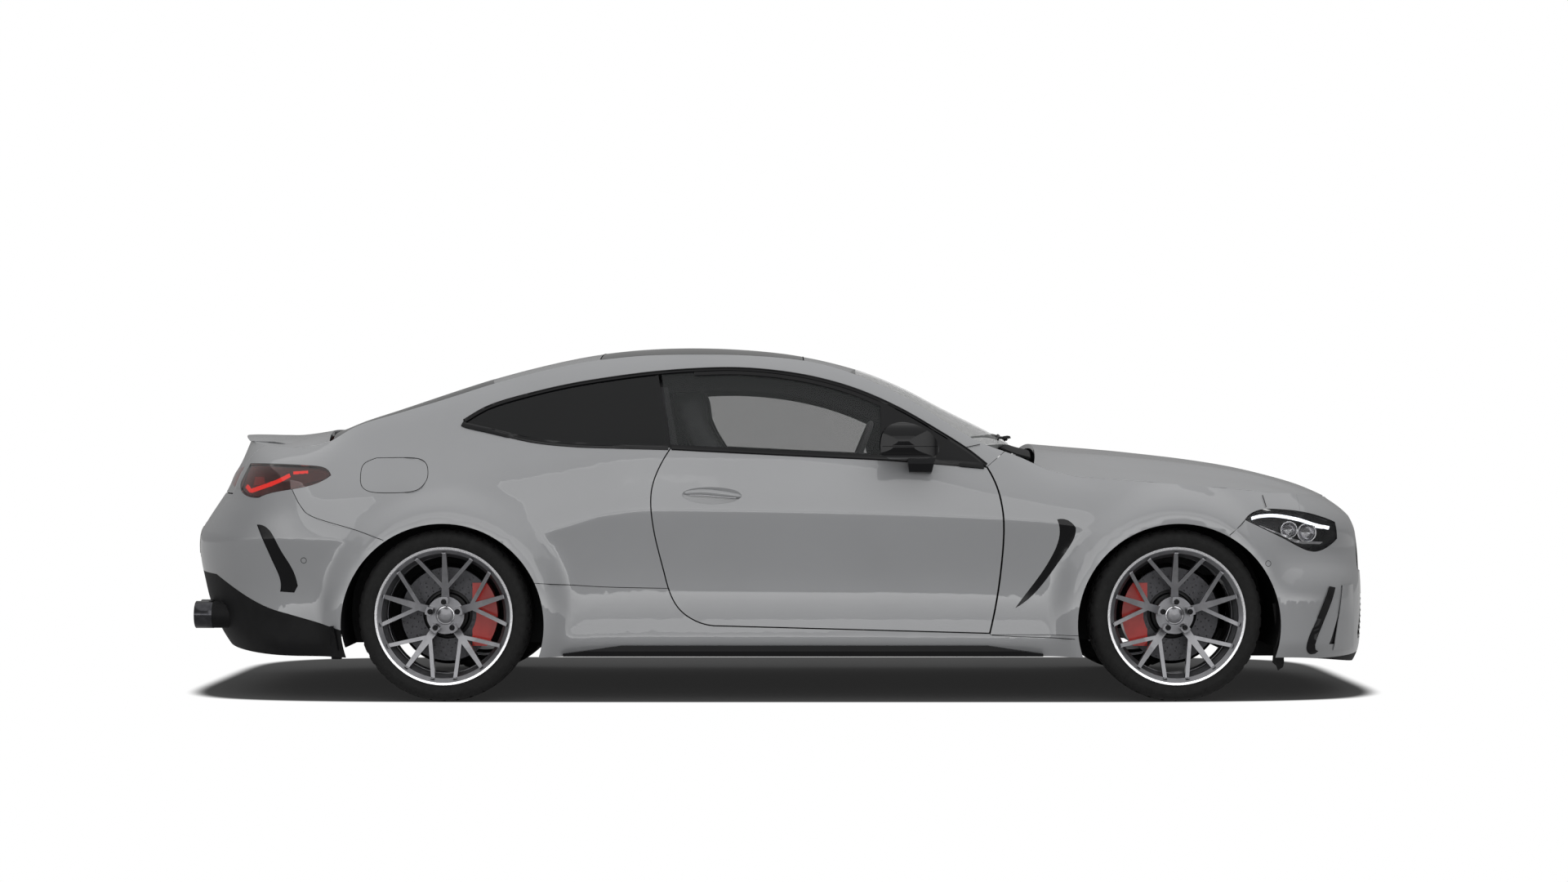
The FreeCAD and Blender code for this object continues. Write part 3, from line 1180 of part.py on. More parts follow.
def make_steering_wheel(dashboard):
    radius, rim = size("steering_wheel_radius"), size("steering_rim_radius")
    section = [Vector(radius + rim * math.cos(a), 0, rim * math.sin(a)) for a in
               (math.pi * k / 5 for k in range(10))]
    ring = Part.Face(Part.makePolygon(section + section[:1])).revolve(Vector(0, 0, 0), Vector(0, 0, 1), 360)
    boss = Part.makeCylinder(58, 30, Vector(0, 0, -26))
    arms = [box(0, radius, -16, 16, -14, -4), box(-radius, 0, -16, 16, -14, -4), box(-16, 16, -radius, 0, -14, -4)]
    column = Part.makeCylinder(22, 310, Vector(0, 0, -320))
    wheel = ring.fuse([boss, column] + arms)
    wheel.Placement = Placement(Vector(along(330), across(385), upward(935)), Rotation(Vector(0, 0, 1), -90)
                                * Rotation(Vector(1, 0, 0), 68))
    return one_solid(wheel.cut(dashboard))


def copied(name, source, axle, side):
    """One wheel piece standing at its axle, the left ones mirrored."""
    if side < 0:
        item = doc.addObject("Part::Compound", name)
        item.Links = [source]
        item.Placement = Placement(Vector(axle, -WHEEL_PLANE, WHEEL_HEIGHT), Rotation())
    else:
        item = doc.addObject("Part::Mirroring", name)
        item.Source = source
        item.Normal = Vector(0, 1, 0)
        item.Placement = Placement(Vector(axle, WHEEL_PLANE, WHEEL_HEIGHT), Rotation())
    item.Label = name
    parts[name] = item


def sided(name, shape):
    keep(name + "_right", shape)
    keep(name + "_left", left_of(shape))


def pair(name, shape):
    keep(name, both(shape))


door, door_glass = make_door(), one_solid(glass_sheet().common(side_prism(DOOR_GLASS)))
sided("door", door)
bodyside = make_bodyside()
sided("bodyside", bodyside)
sided("door_glass", door_glass)
pair("quarter_glass", make_quarter_glass())
for piece, (front, back, thick) in TOPS.items():
    keep(piece, cabin_piece(front, back, thick))
keep("bonnet", make_bonnet())
keep("boot_lid", make_boot_lid())
pair("front_fenders", make_fender())
keep("front_bumper", make_front_bumper())
keep("front_lip", make_front_lip())
keep("rear_bumper", make_rear_bumper())
keep("rear_diffuser", make_diffuser())
pair("headlamps", make_lamp(right_net, LAMP_FRONT, 0, 6))
pair("tail_lamps", make_lamp(right_net, LAMP_REAR, 0, 6))
pair("fuel_flap", make_fuel_flap())
keep("cowl_panel", make_cowl())
pair("side_skirts", make_skirt())
pair("wing_vents", make_vent(flank[50:], WING_VENT, 20))
pair("bumper_vents", make_vent(rear_net, BUMPER_VENT, 20))
keep("grille", make_grille())
keep("lower_grille", make_lower_grille())
sided("mirror", make_mirror(door, door_glass))
keep("floor_pan", make_floor())
keep("firewall", make_firewall())
keep("rear_wall", make_rear_wall())
keep("front_rails", make_front_rails())
liners = [make_liner(FRONT_AXLE, TUB_FRONT, 405, 260, bodyside), make_liner(REAR_AXLE, TUB_REAR, 400, 150, bodyside)]
keep("wheel_liners", Part.makeCompound(liners + [left_of(s) for s in liners]))
keep("front_seats", make_seats())
hump = box(along(-1100), POST, -TUNNEL - SEAT, TUNNEL + SEAT, 0, upward(360) + SEAT)
keep("rear_bench", profile_prism(BENCH_SIDE, -600, 600).cut(hump))
dashboard = keep("dashboard", profile_prism(DASH_SIDE, -722, 722))
keep("steering_wheel", make_steering_wheel(dashboard))
keep("exhaust", make_exhaust())
keep("front_axle", make_front_axle())
keep("rear_axle", make_rear_axle())

engine = doc.addObject("Part::Box", "engine")
engine.Label = "engine"
engine.setExpression("Length", "sizes.engine_length")
engine.setExpression("Width", "sizes.engine_width")
engine.setExpression("Height", "sizes.engine_height")
engine.Placement = Placement(Vector(FRONT_AXLE - 440, -size("engine_width") / 2, upward(250) + SEAT), Rotation())
parts["engine"] = engine

masters = {"tyre": make_tyre(), "rim": make_rim(), "brake_disc": make_disc()}
for corner, axle, side in (("front_right", FRONT_AXLE, -1), ("front_left", FRONT_AXLE, 1),
                           ("rear_right", REAR_AXLE, -1), ("rear_left", REAR_AXLE, 1)):
    for kind, source in masters.items():
        copied(f"{kind}_{corner}", source, axle, side)
    way = -1 if axle == FRONT_AXLE else 1
    keep(f"caliper_{corner}", at_wheel(make_caliper(way), axle, side))
    if axle == FRONT_AXLE:
        keep(f"knuckle_{corner[6:]}", at_wheel(make_carrier(way, True), axle, side))

doc.recompute()
for item in doc.Objects:
    if "Invalid" in item.State or "Error" in item.State:
        raise RuntimeError(f"{item.Name} failed: {item.State}")
for name, item in parts.items():
    if item.Shape.isNull() or not item.Shape.isValid() or not item.Shape.Solids:
        raise RuntimeError(f"{name} has no valid solid")

os.makedirs("parts", exist_ok=True)
for name, item in parts.items():
    item.Shape.exportStep(f"parts/{name}.step")
print(len(parts), "sub-parts written")
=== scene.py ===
import math
import bmesh
import bpy
from mathutils import Matrix, Vector
from mathutils.bvhtree import BVHTree


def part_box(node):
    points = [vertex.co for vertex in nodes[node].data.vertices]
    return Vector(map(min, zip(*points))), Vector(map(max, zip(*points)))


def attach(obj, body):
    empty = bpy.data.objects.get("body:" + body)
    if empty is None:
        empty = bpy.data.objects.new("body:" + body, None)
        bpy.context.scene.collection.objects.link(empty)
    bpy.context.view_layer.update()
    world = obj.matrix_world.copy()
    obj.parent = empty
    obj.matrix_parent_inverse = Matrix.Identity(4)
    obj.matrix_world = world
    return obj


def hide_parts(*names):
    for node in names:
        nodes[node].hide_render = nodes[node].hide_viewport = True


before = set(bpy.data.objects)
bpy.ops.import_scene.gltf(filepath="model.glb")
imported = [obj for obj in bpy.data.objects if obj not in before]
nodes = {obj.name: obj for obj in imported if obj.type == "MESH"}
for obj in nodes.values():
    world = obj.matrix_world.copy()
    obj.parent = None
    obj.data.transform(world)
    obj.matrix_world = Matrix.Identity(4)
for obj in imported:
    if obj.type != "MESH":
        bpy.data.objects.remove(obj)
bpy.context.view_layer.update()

# Studio picture of a grey two-door coupe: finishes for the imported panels, and the small things on and in them.
corners = ("front_right", "front_left", "rear_right", "rear_left")
sides = ((-1, "right"), (1, "left"))                         # the sign of y, and the word in the names
mm = 0.001


def sideOf(corner):
    return -1 if corner.endswith("right") else 1


# materials: colours are sRGB hex, turned to linear in one place
def linear(hexCode):
    steps = [int(hexCode[i:i + 2], 16) / 255 for i in (1, 3, 5)]
    return tuple(s / 12.92 if s <= 0.04045 else ((s + 0.055) / 1.055) ** 2.4 for s in steps) + (1.0,)


def addNode(tree, kind, settings=None, links=None):
    # settings and links name a socket or give its number; a setting may also name a property of the node
    node = tree.nodes.new(kind)
    for name, value in (settings or {}).items():
        if isinstance(name, int) or name in node.inputs:
            node.inputs[name].default_value = value
        else:
            setattr(node, name, value)
    for name, source in (links or {}).items():
        tree.links.new(source, node.inputs[name])
    return node


def newMaterial(name, settings):
    material = bpy.data.materials.new(name)
    material.use_nodes = True
    shader = material.node_tree.nodes["Principled BSDF"]
    for socket, value in settings.items():
        shader.inputs[socket].default_value = value
    return material, material.node_tree, shader


def surfacedMaterial(name, settings, tones, patchMm, fine=3.0, grain=None):
    # colour that wanders between two close tones, one patch about patchMm across, and a grain in the surface, given by
    # its pattern, size and depth in mm, strength and fineness
    material, tree, shader = newMaterial(name, settings)
    place = addNode(tree, "ShaderNodeTexCoord").outputs["Object"]
    noise = addNode(tree, "ShaderNodeTexNoise", {"Scale": 1 / (patchMm * mm), "Detail": fine}, {"Vector": place})
    ramp = addNode(tree, "ShaderNodeValToRGB", {}, {"Fac": noise.outputs["Fac"]})
    for stop, position, colour in zip(ramp.color_ramp.elements, (0.3, 0.7), tones):
        stop.position, stop.color = position, linear(colour)
    tree.links.new(ramp.outputs["Color"], shader.inputs["Base Color"])
    if grain:
        pattern, sizeMm, depthMm, strength, detail = grain
        kind, output, own = {"noise": ("ShaderNodeTexNoise", "Fac", {}),
                             "cells": ("ShaderNodeTexVoronoi", "Distance", {"feature": "DISTANCE_TO_EDGE"})}[pattern]
        height = addNode(tree, kind, {"Scale": 1 / (sizeMm * mm), "Detail": detail, **own}, {"Vector": place})
        bump = addNode(tree, "ShaderNodeBump", {"Strength": strength, "Distance": depthMm * mm},
                       {"Height": height.outputs[output]})
        tree.links.new(bump.outputs["Normal"], shader.inputs["Normal"])
    return material


def temperedGlass(name, tint, cover, gloss=0.22):
    # soda-lime glass, float made and tempered, body-tinted: cover is the share of light that the tint holds back
    return newMaterial(name, {"Base Color": linear(tint), "Roughness": 0.03, "IOR": 1.5, "Alpha": cover,
                              "Specular IOR Level": gloss})[0]


def litDiode(name, colour, strength):
    # light guide lit by diodes, moulded acrylic
    return newMaterial(name, {"Base Color": linear(colour), "Roughness": 0.3,
                              "Emission Color": linear(colour), "Emission Strength": strength})[0]


# grey solid lacquer under clearcoat: even colour, sharp reflections over a soft sheen, faint orange peel (the real peel
# is 2 to 5 mm across, here it is coarser so that it shows)
lacquer = surfacedMaterial(
    "clearcoatedLacquer", {"Roughness": 0.45, "IOR": 1.5, "Coat Weight": 1.0, "Coat Roughness": 0.03, "Coat IOR": 1.5},
    ("#8b8c8e", "#8f9092"), 400, grain=("noise", 14, 0.05, 0.25, 2))
# black acrylic, injection moulded and polished: deep black with sharp reflections
blackAcrylic = surfacedMaterial(
    "glossBlackAcrylic", {"Roughness": 0.14, "IOR": 1.49, "Specular IOR Level": 0.22}, ("#08080a", "#0c0c0e"), 120)
# black polypropylene moulded with a fine leather grain: dull and dark grey
blackPlastic = surfacedMaterial(
    "grainedPolypropylene", {"Roughness": 0.58, "IOR": 1.49, "Specular IOR Level": 0.15}, ("#101011", "#161617"), 60,
    grain=("cells", 3, 0.25, 0.5, 0))                                      # real grain is 1 mm
# black ABS, moulded with a spark-eroded skin: satin black
blackAbs = surfacedMaterial(
    "satinBlackAbs", {"Roughness": 0.36, "IOR": 1.53, "Specular IOR Level": 0.18}, ("#0d0d0f", "#131315"), 50,
    grain=("noise", 2, 0.05, 0.3, 2))
doorGlass = temperedGlass("temperedGlassLight", "#363838", 0.36)
darkGlass = temperedGlass("temperedGlassPrivacy", "#0d0e0f", 0.93)
screenGlass = temperedGlass("laminatedGlassScreen", "#747776", 0.3, 0.5)
roofGlass = temperedGlass("temperedGlassRoof", "#0d0e0f", 1.0, 0.5)
clearLens = temperedGlass("polycarbonateClear", "#303234", 0.16, 0.8)
# red polycarbonate, injection moulded and hard-coated: a low IOR, so that the thin shell does not bend the view
redLens = newMaterial(
    "polycarbonateSmokedRed", {"Base Color": linear("#b0605a"), "Roughness": 0.0, "IOR": 1.12,
                               "Transmission Weight": 1.0, "Coat Weight": 1.0, "Coat Roughness": 0.0,
                               "Coat IOR": 1.58})[0]
# aluminium forging, machined and painted grey silver: soft metal sheen with a faint grain
alloy = surfacedMaterial(
    "forgedAluminium", {"Metallic": 0.85, "Roughness": 0.34, "Coat Weight": 0.5, "Coat Roughness": 0.08},
    ("#77777a", "#828285"), 25, grain=("noise", 3, 0.03, 0.2, 2))
# aluminium, diamond-turned and lacquered: the bright wheel lip and the ring round the cap
brightAlloy = surfacedMaterial("polishedAluminium", {"Metallic": 1.0, "Roughness": 0.16}, ("#d4d4d6", "#e2e2e4"), 8)
# tyre rubber, pressed and cured: matt black with a grey bloom and a fine moulded texture
rubber = surfacedMaterial(
    "vulcanisedRubber", {"Roughness": 0.78, "IOR": 1.52, "Specular IOR Level": 0.25}, ("#121212", "#1b1b1b"), 18, 5,
    grain=("noise", 2.5, 0.25, 0.4, 2))
# grey cast iron, turned on a lathe: dull metal with a fine tool-marked grain
iron = surfacedMaterial("turnedCastIron", {"Metallic": 0.9, "Roughness": 0.42}, ("#434345", "#4b4b4e"), 12,
                        grain=("noise", 1.5, 0.05, 0.3, 2))
# aluminium casting, enamelled red: a bright even gloss
caliperRed = surfacedMaterial(
    "redEnamel", {"Roughness": 0.32, "IOR": 1.5, "Coat Weight": 0.8, "Coat Roughness": 0.06},
    ("#bd241c", "#c92c24"), 30, grain=("noise", 5, 0.15, 0.4, 2))
# pressed steel, dipped and baked black: half matt suspension, hinges and subframes
coatedSteel = surfacedMaterial("electrocoatedSteel", {"Roughness": 0.5, "IOR": 1.5, "Metallic": 0.3},
                               ("#1b1b1d", "#262628"), 40, grain=("noise", 4, 0.08, 0.4, 2))
# chrome-tanned nappa hide, embossed: fine pebble grain, soft sheen
leather = surfacedMaterial(
    "nappaLeather", {"Roughness": 0.5, "IOR": 1.45, "Sheen Weight": 0.15, "Sheen Roughness": 0.4},
    ("#5e5e60", "#6a6a6c"), 35, 4, grain=("cells", 4, 0.35, 0.5, 0))       # real pebbles are 1 to 2 mm
# slush-moulded vinyl skin of the dashboard: matt, soft grain
skin = surfacedMaterial("slushSkin", {"Roughness": 0.66, "IOR": 1.48}, ("#1d1d1f", "#252527"), 45,
                        grain=("cells", 3, 0.25, 0.5, 0))
# nylon tufted carpet over the floor: black and fully matt
carpet = surfacedMaterial("tuftedCarpet", {"Roughness": 0.95, "Sheen Weight": 0.4}, ("#121213", "#1c1c1d"), 6, 6,
                          grain=("noise", 4, 1.2, 0.8, 6))
# stainless steel, polished and coated black: dark mirror of the exhaust tips
darkChrome = surfacedMaterial("smokedChrome", {"Metallic": 1.0, "Roughness": 0.14}, ("#3a3a3d", "#48484b"), 20)
# ABS, vacuum metallised: the bright reflectors and bezels in the lamps
chrome = surfacedMaterial("platedAbs", {"Metallic": 1.0, "Roughness": 0.08}, ("#b9b9bc", "#c8c8cb"), 30)
# blank retroreflective sheet on aluminium: pale and even
plateSheet = surfacedMaterial("printedPlate", {"Roughness": 0.35, "IOR": 1.5}, ("#e4e4e0", "#ececea"), 20)
# polyester knit of the headliner and pillar covers: matt charcoal
knit = surfacedMaterial("knitCloth", {"Roughness": 0.9, "Sheen Weight": 0.2}, ("#3a3a3c", "#424244"), 8, 5,
                        grain=("noise", 3, 0.3, 0.5, 4))
# mirror pane: soda-lime glass silvered on the back
silvered = surfacedMaterial("silveredGlass", {"Metallic": 1.0, "Roughness": 0.02}, ("#c6cacc", "#cccfd0"), 200)
whiteLight = litDiode("litAcrylicWhite", "#f4f8ff", 1.6)
redLight = litDiode("litAcrylicRed", "#ff4a2a", 1.2)
# black stove enamel on the parts behind the wheels: matt and dark
frameBlack = surfacedMaterial("stoveEnamelBlack", {"Roughness": 0.7, "IOR": 1.4, "Specular IOR Level": 0.05},
                              ("#0b0b0c", "#101011"), 30)
print("materials:", len(bpy.data.materials))

finishes = (
    (lacquer, ("bodyside_right", "bodyside_left", "door_right", "door_left", "bonnet", "boot_lid", "front_fenders",
               "front_bumper", "rear_bumper", "fuel_flap", "roof_panel")),
    (doorGlass, ("door_glass_right", "door_glass_left")),
    (darkGlass, ("quarter_glass", "rear_window")),
    (screenGlass, ("windscreen",)),
    (clearLens, ("headlamps",)),
    (redLens, ("tail_lamps",)),
    (blackAcrylic, ("grille", "wing_vents", "bumper_vents", "side_skirts", "mirror_right", "mirror_left")),
    (blackPlastic, ("front_lip", "rear_diffuser", "cowl_panel", "wheel_liners")),
    (blackAbs, ("lower_grille", "engine")),
    (carpet, ("floor_pan", "rear_wall")),
    (coatedSteel, ("firewall", "front_rails", "front_axle", "rear_axle", "knuckle_right", "knuckle_left")),
    (darkChrome, ("exhaust",)),
    (leather, ("front_seats", "rear_bench", "steering_wheel")),
    (skin, ("dashboard",)),
    (rubber, [f"tyre_{corner}" for corner in corners]),
    (alloy, [f"rim_{corner}" for corner in corners]),
    (iron, [f"brake_disc_{corner}" for corner in corners]),
    (caliperRed, [f"caliper_{corner}" for corner in corners]),
)
finished = 0
for material, names in finishes:
    for name in names:
        nodes[name].data.materials.clear()
        nodes[name].data.materials.append(material)
        finished += 1
print("finished CAD nodes:", finished)


# making and placing new pieces
def finishPiece(piece, material, body):
    piece.data.materials.append(material)
    bpy.context.scene.collection.objects.link(piece)
    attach(piece, body)
    return piece


def meshPiece(name, points, faces, material, body, smooth):
    # smooth is the angle in degrees up to which a crease is shaded away
    mesh = bpy.data.meshes.new(name)
    mesh.from_pydata([tuple(p) for p in points], [], faces)
    mesh.validate()
    build = bmesh.new()
    build.from_mesh(mesh)
    bmesh.ops.recalc_face_normals(build, faces=build.faces)
    build.to_mesh(mesh)
    build.free()
    mesh.shade_smooth()
    mesh.set_sharp_from_angle(angle=math.radians(smooth))
    return finishPiece(bpy.data.objects.new(name, mesh), material, body)


def linePiece(name, runs, radius, material, body, closed=False):
    # rods, seams and light guides: smooth curves with a round section
    curve = bpy.data.curves.new(name, "CURVE")
    curve.dimensions = "3D"
    curve.bevel_depth, curve.bevel_resolution, curve.resolution_u = radius, 3, 6
    curve.use_fill_caps = True
    for run in runs:
        spline = curve.splines.new("NURBS")
        spline.points.add(len(run) - 1)
        for point, place in zip(spline.points, run):
            point.co = (*place, 1.0)
        spline.order_u = min(3, len(run))
        spline.use_endpoint_u, spline.use_cyclic_u = not closed, closed
    return finishPiece(bpy.data.objects.new(name, curve), material, body)


def gridFaces(rows, columns, closedRows=False, closedColumns=False):
    faces = []
    for r in range(rows if closedRows else rows - 1):
        for c in range(columns if closedColumns else columns - 1):
            r2, c2 = (r + 1) % rows, (c + 1) % columns
            faces.append((r * columns + c, r * columns + c2, r2 * columns + c2, r2 * columns + c))
    return faces


def turnedPiece(name, profile, centre, side, material, body, steps, closed=True):
    # a section of (radius, across) turned about the wheel's axis; across runs from outside the car inwards
    points = []
    for k in range(steps):
        a = 2 * math.pi * k / steps
        for r, across in profile:
            points.append((centre.x + r * math.cos(a), centre.y - side * across, centre.z + r * math.sin(a)))
    faces = gridFaces(steps, len(profile), closedRows=True, closedColumns=closed)
    return meshPiece(name, points, faces, material, body, 30)


def prismPiece(name, front, back, material, body):
    # a flat shape, its copy behind it and the wall between
    count = len(front)
    faces = [tuple(range(count)), tuple(range(count, 2 * count))]
    faces += [(i, (i + 1) % count, count + (i + 1) % count, count + i) for i in range(count)]
    return meshPiece(name, list(front) + list(back), faces, material, body, 30)


def loftPiece(name, rows, material, body, smooth):
    # closed rings of points, one after the other, with both ends capped
    count = len(rows[0])
    faces = gridFaces(len(rows), count, closedColumns=True)
    faces += [tuple(range(count)), tuple((len(rows) - 1) * count + i for i in range(count))]
    return meshPiece(name, [p for row in rows for p in row], faces, material, body, smooth)


def castTree(*names):
    # what rays are cast against: the meshes of these CAD nodes
    points, faces = [], []
    for name in names:
        start = len(points)
        points += [v.co.copy() for v in nodes[name].data.vertices]
        faces += [[start + i for i in p.vertices] for p in nodes[name].data.polygons]
    return BVHTree.FromPolygons(points, faces)


def onSide(tree, x, z, lift, side):
    # the point of the flank at (x, z), lifted off along its own normal; gaps between panels are stepped over
    best = None
    for dx, dz in ((0, 0), (0.006, 0), (-0.006, 0), (0, 0.006), (0, -0.006)):
        place, normal = tree.ray_cast(Vector((x + dx, side * 2, z + dz)), Vector((0, -side, 0)))[:2]
        if place is not None and abs(place.y) > 0.35 and (best is None or abs(place.y) > abs(best[0].y) + 0.004):
            best = (place, normal)
    place, normal = best or tree.find_nearest(Vector((x, side * 0.85, z)))[:2]
    if normal.y * side < 0:
        normal = -normal
    return Vector((x, place.y, z)) + normal * lift


def onTop(tree, x, y, lift):
    # the point of the top at (x, y), or the nearest one beyond its edge
    place = tree.ray_cast(Vector((x, y, 3)), Vector((0, 0, -1)))[0]
    if place is None:
        place = tree.find_nearest(Vector((x, y, 1.2)))[0]
    return place + Vector((0, 0, lift))


def onTail(tree, y, z, lift):
    # the point of the tail at (y, z), lifted off along its own normal
    place, normal = tree.ray_cast(Vector((-4, y, z)), Vector((1, 0, 0)))[:2]
    if place is None:
        place, normal = tree.find_nearest(Vector((-2.4, y, z)))[:2]
    if normal.x > 0:
        normal = -normal
    return place + normal * lift


def sheetPiece(name, outer, thickness, material, body, inwards):
    # rows of points on a surface, given a thickness towards the point inwards
    rows, columns = len(outer), len(outer[0])
    flat = [Vector(p) for row in outer for p in row]
    inner = []
    for i, p in enumerate(flat):
        r, c = divmod(i, columns)
        a = outer[min(r + 1, rows - 1)][c] - outer[max(r - 1, 0)][c]
        b = outer[r][min(c + 1, columns - 1)] - outer[r][max(c - 1, 0)]
        normal = Vector(a).cross(Vector(b))
        normal = normal.normalized() if normal.length > 0 else Vector((0, 1, 0))
        if normal.dot(Vector(inwards) - p) < 0:
            normal = -normal
        inner.append(p + normal * thickness)
    faces = gridFaces(rows, columns)
    count = rows * columns
    faces += [tuple(count + i for i in reversed(f)) for f in faces[:]]
    border = list(range(columns)) + [r * columns + columns - 1 for r in range(1, rows)]
    border += [(rows - 1) * columns + c for c in range(columns - 2, -1, -1)]
    border += [r * columns for r in range(rows - 2, 0, -1)]
    for a, b in zip(border, border[1:] + border[:1]):
        faces.append((a, b, count + b, count + a))
    return meshPiece(name, flat + inner, faces, material, body, 40)


def evenSpread(points, count):
    # count points spread along a polyline, by length
    lengths = [0.0]
    for a, b in zip(points, points[1:]):
        lengths.append(lengths[-1] + math.dist(a, b))
    out = []
    for k in range(count):
        want = lengths[-1] * k / (count - 1)
        i = max(j for j in range(len(lengths) - 1) if lengths[j] <= want + 1e-9)
        share = (want - lengths[i]) / max(lengths[i + 1] - lengths[i], 1e-9)
        out.append(tuple(a + (b - a) * share for a, b in zip(points[i], points[i + 1])))
    return out


def smoothLine(points, count):
    # Catmull-Rom through the points, then evenly spread
    dense = []
    pad = [points[0]] + list(points) + [points[-1]]
    for i in range(1, len(pad) - 2):
        p0, p1, p2, p3 = (Vector(p).to_3d() if len(p) == 2 else Vector(p) for p in pad[i - 1:i + 3])
        for k in range(8):
            t = k / 8
            dense.append(0.5 * ((2 * p1) + (p2 - p0) * t + (2 * p0 - 5 * p1 + 4 * p2 - p3) * t * t
                                + (3 * p1 - p0 - 3 * p2 + p3) * t ** 3))
    dense.append(Vector(points[-1]).to_3d() if len(points[-1]) == 2 else Vector(points[-1]))
    return evenSpread([tuple(p)[:len(points[0])] for p in dense], count)


# wheels: treaded tyres, bright lip, lug bolts, plain cap and drilled discs
wheel = {"steps": 200, "grooves": (-72, -26, 26, 72), "grooveWide": 9, "grooveDeep": 7, "sipeEvery": 5, "sipeDeep": 5,
         "bolts": 5, "boltCircle": 56 * mm, "boltRadius": 11 * mm}


def tyreSection(low, high):
    # (radius, across) in metres, round the tread from bead to bead; across is measured from the wheel's middle
    half = (high.y - low.y) / 2
    radius = (high.z - low.z) / 2
    wall = [(255, -118), (262, -121), (272, -124.5), (276, -126), (284, -130), (296, -131.6), (300, -131.9),
            (301.5, -132.2), (303, -131.9), (312, -131), (320, -127.5), (327, -120), (332.5, -110)]
    tread = []
    for edge in range(-104, 105, 4):
        grooved = any(abs(edge - groove) <= wheel["grooveWide"] / 2 for groove in wheel["grooves"])
        crown = 340 - 4.2 * (abs(edge) / 104) ** 3
        tread.append((crown - (wheel["grooveDeep"] if grooved else 0), edge))
    section = wall + tread + [(r, -a) for r, a in reversed(wall)]
    return [(r * mm * radius / 0.340, a * mm * half / 0.1325) for r, a in section]


for corner in corners:
    side = sideOf(corner)
    low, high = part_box(f"tyre_{corner}")
    centre = (low + high) / 2
    body = f"wheel_{corner}"
    inside = [(0.257, 0.085), (0.30, 0.112), (0.322, 0.08), (0.322, -0.08), (0.30, -0.112), (0.257, -0.085)]
    profile = tyreSection(low, high) + inside
    points = []
    for k in range(wheel["steps"]):
        a = 2 * math.pi * k / wheel["steps"]
        for r, across in profile:
            shoulder = 0.078 < abs(across) < 0.118 and r > 0.33
            rib = 0.030 < abs(across) < 0.068 and r > 0.334
            ribTurn = k + (2 if across > 0 else 0)
            if (shoulder and k % wheel["sipeEvery"] == 0) or (rib and ribTurn % wheel["sipeEvery"] == 0):
                r -= wheel["sipeDeep"] * mm
            points.append((centre.x + r * math.cos(a), centre.y + side * across, centre.z + r * math.sin(a)))
    faces = gridFaces(wheel["steps"], len(profile), closedRows=True, closedColumns=True)
    tyre = meshPiece(f"tread_{corner}", points, faces, rubber, body, 24)
    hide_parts(f"tyre_{corner}")

    out = lambda across: centre.y + side * across          # across from the wheel's middle, outwards
    lip = [(0.2555, -0.112), (0.262, -0.1295), (0.2705, -0.1300), (0.2712, -0.1265), (0.2705, -0.1225),
           (0.2560, -0.108)]
    turnedPiece(f"lip_{corner}", lip, centre, side, brightAlloy, body, 128)
    rimTree = castTree(f"rim_{corner}")

    def faceAt(r, a):
        # how far out of the wheel's middle the rim's face is, at radius r and angle a
        start = Vector((centre.x + r * math.cos(a), centre.y + side * 0.5, centre.z + r * math.sin(a)))
        place = rimTree.ray_cast(start, Vector((0, -side, 0)))[0]
        return side * (place.y - centre.y)

    face = faceAt(0.02, 0.3)
    capProfile = [(0.0, -face - 0.0030), (0.018, -face - 0.0026), (0.030, -face - 0.0012), (0.0335, -face + 0.001),
                  (0.0335, -face + 0.005), (0.0, -face + 0.005)]
    turnedPiece(f"cap_{corner}", capProfile, centre, side, alloy, body, 48, closed=False)
    capRing = [(0.0318, -face - 0.0012), (0.0345, -face - 0.0008), (0.0345, -face + 0.002), (0.0318, -face + 0.002)]
    turnedPiece(f"capRing_{corner}", capRing, centre, side, brightAlloy, body, 48)
    boltPoints, boltFaces = [], []
    for k in range(wheel["bolts"]):
        a = math.pi / 2 + 2 * math.pi * k / wheel["bolts"]
        cx, cz = centre.x + wheel["boltCircle"] * math.cos(a), centre.z + wheel["boltCircle"] * math.sin(a)
        seat = faceAt(wheel["boltCircle"], a)
        # radius, how far out, and edges: a round collar, then a hexagon head with a socket
        rings = [(wheel["boltRadius"], seat - 0.002, 24), (wheel["boltRadius"], seat + 0.0015, 24),
                 (0.0095, seat + 0.003, 24), (0.0088, seat + 0.011, 6), (0.0074, seat + 0.0125, 6),
                 (0.0048, seat + 0.0125, 6), (0.0045, seat + 0.006, 6)]
        base = len(boltPoints)
        for radius, across, edges in rings:
            for j in range(24):
                turn = 2 * math.pi * j / 24
                r = radius
                if edges == 6:
                    r = radius * math.cos(math.pi / 6) / math.cos(turn % (math.pi / 3) - math.pi / 6)
                boltPoints.append((cx + r * math.cos(turn), out(across), cz + r * math.sin(turn)))
        boltFaces += [tuple(base + i for i in f) for f in gridFaces(len(rings), 24, closedColumns=True)]
        boltFaces.append(tuple(base + 24 * (len(rings) - 1) + j for j in range(24)))
    meshPiece(f"bolts_{corner}", boltPoints, boltFaces, blackAbs, body, 30)
print("wheels done")


# drilled brake discs: each face is a ring of tiles, most with a round hole through
disc = {"tiles": 72, "rows": 6, "innerRadius": 0.098, "faces": (-0.024, -0.056), "holeRadius": 3.4 * mm,
        "holeDeep": 0.009}


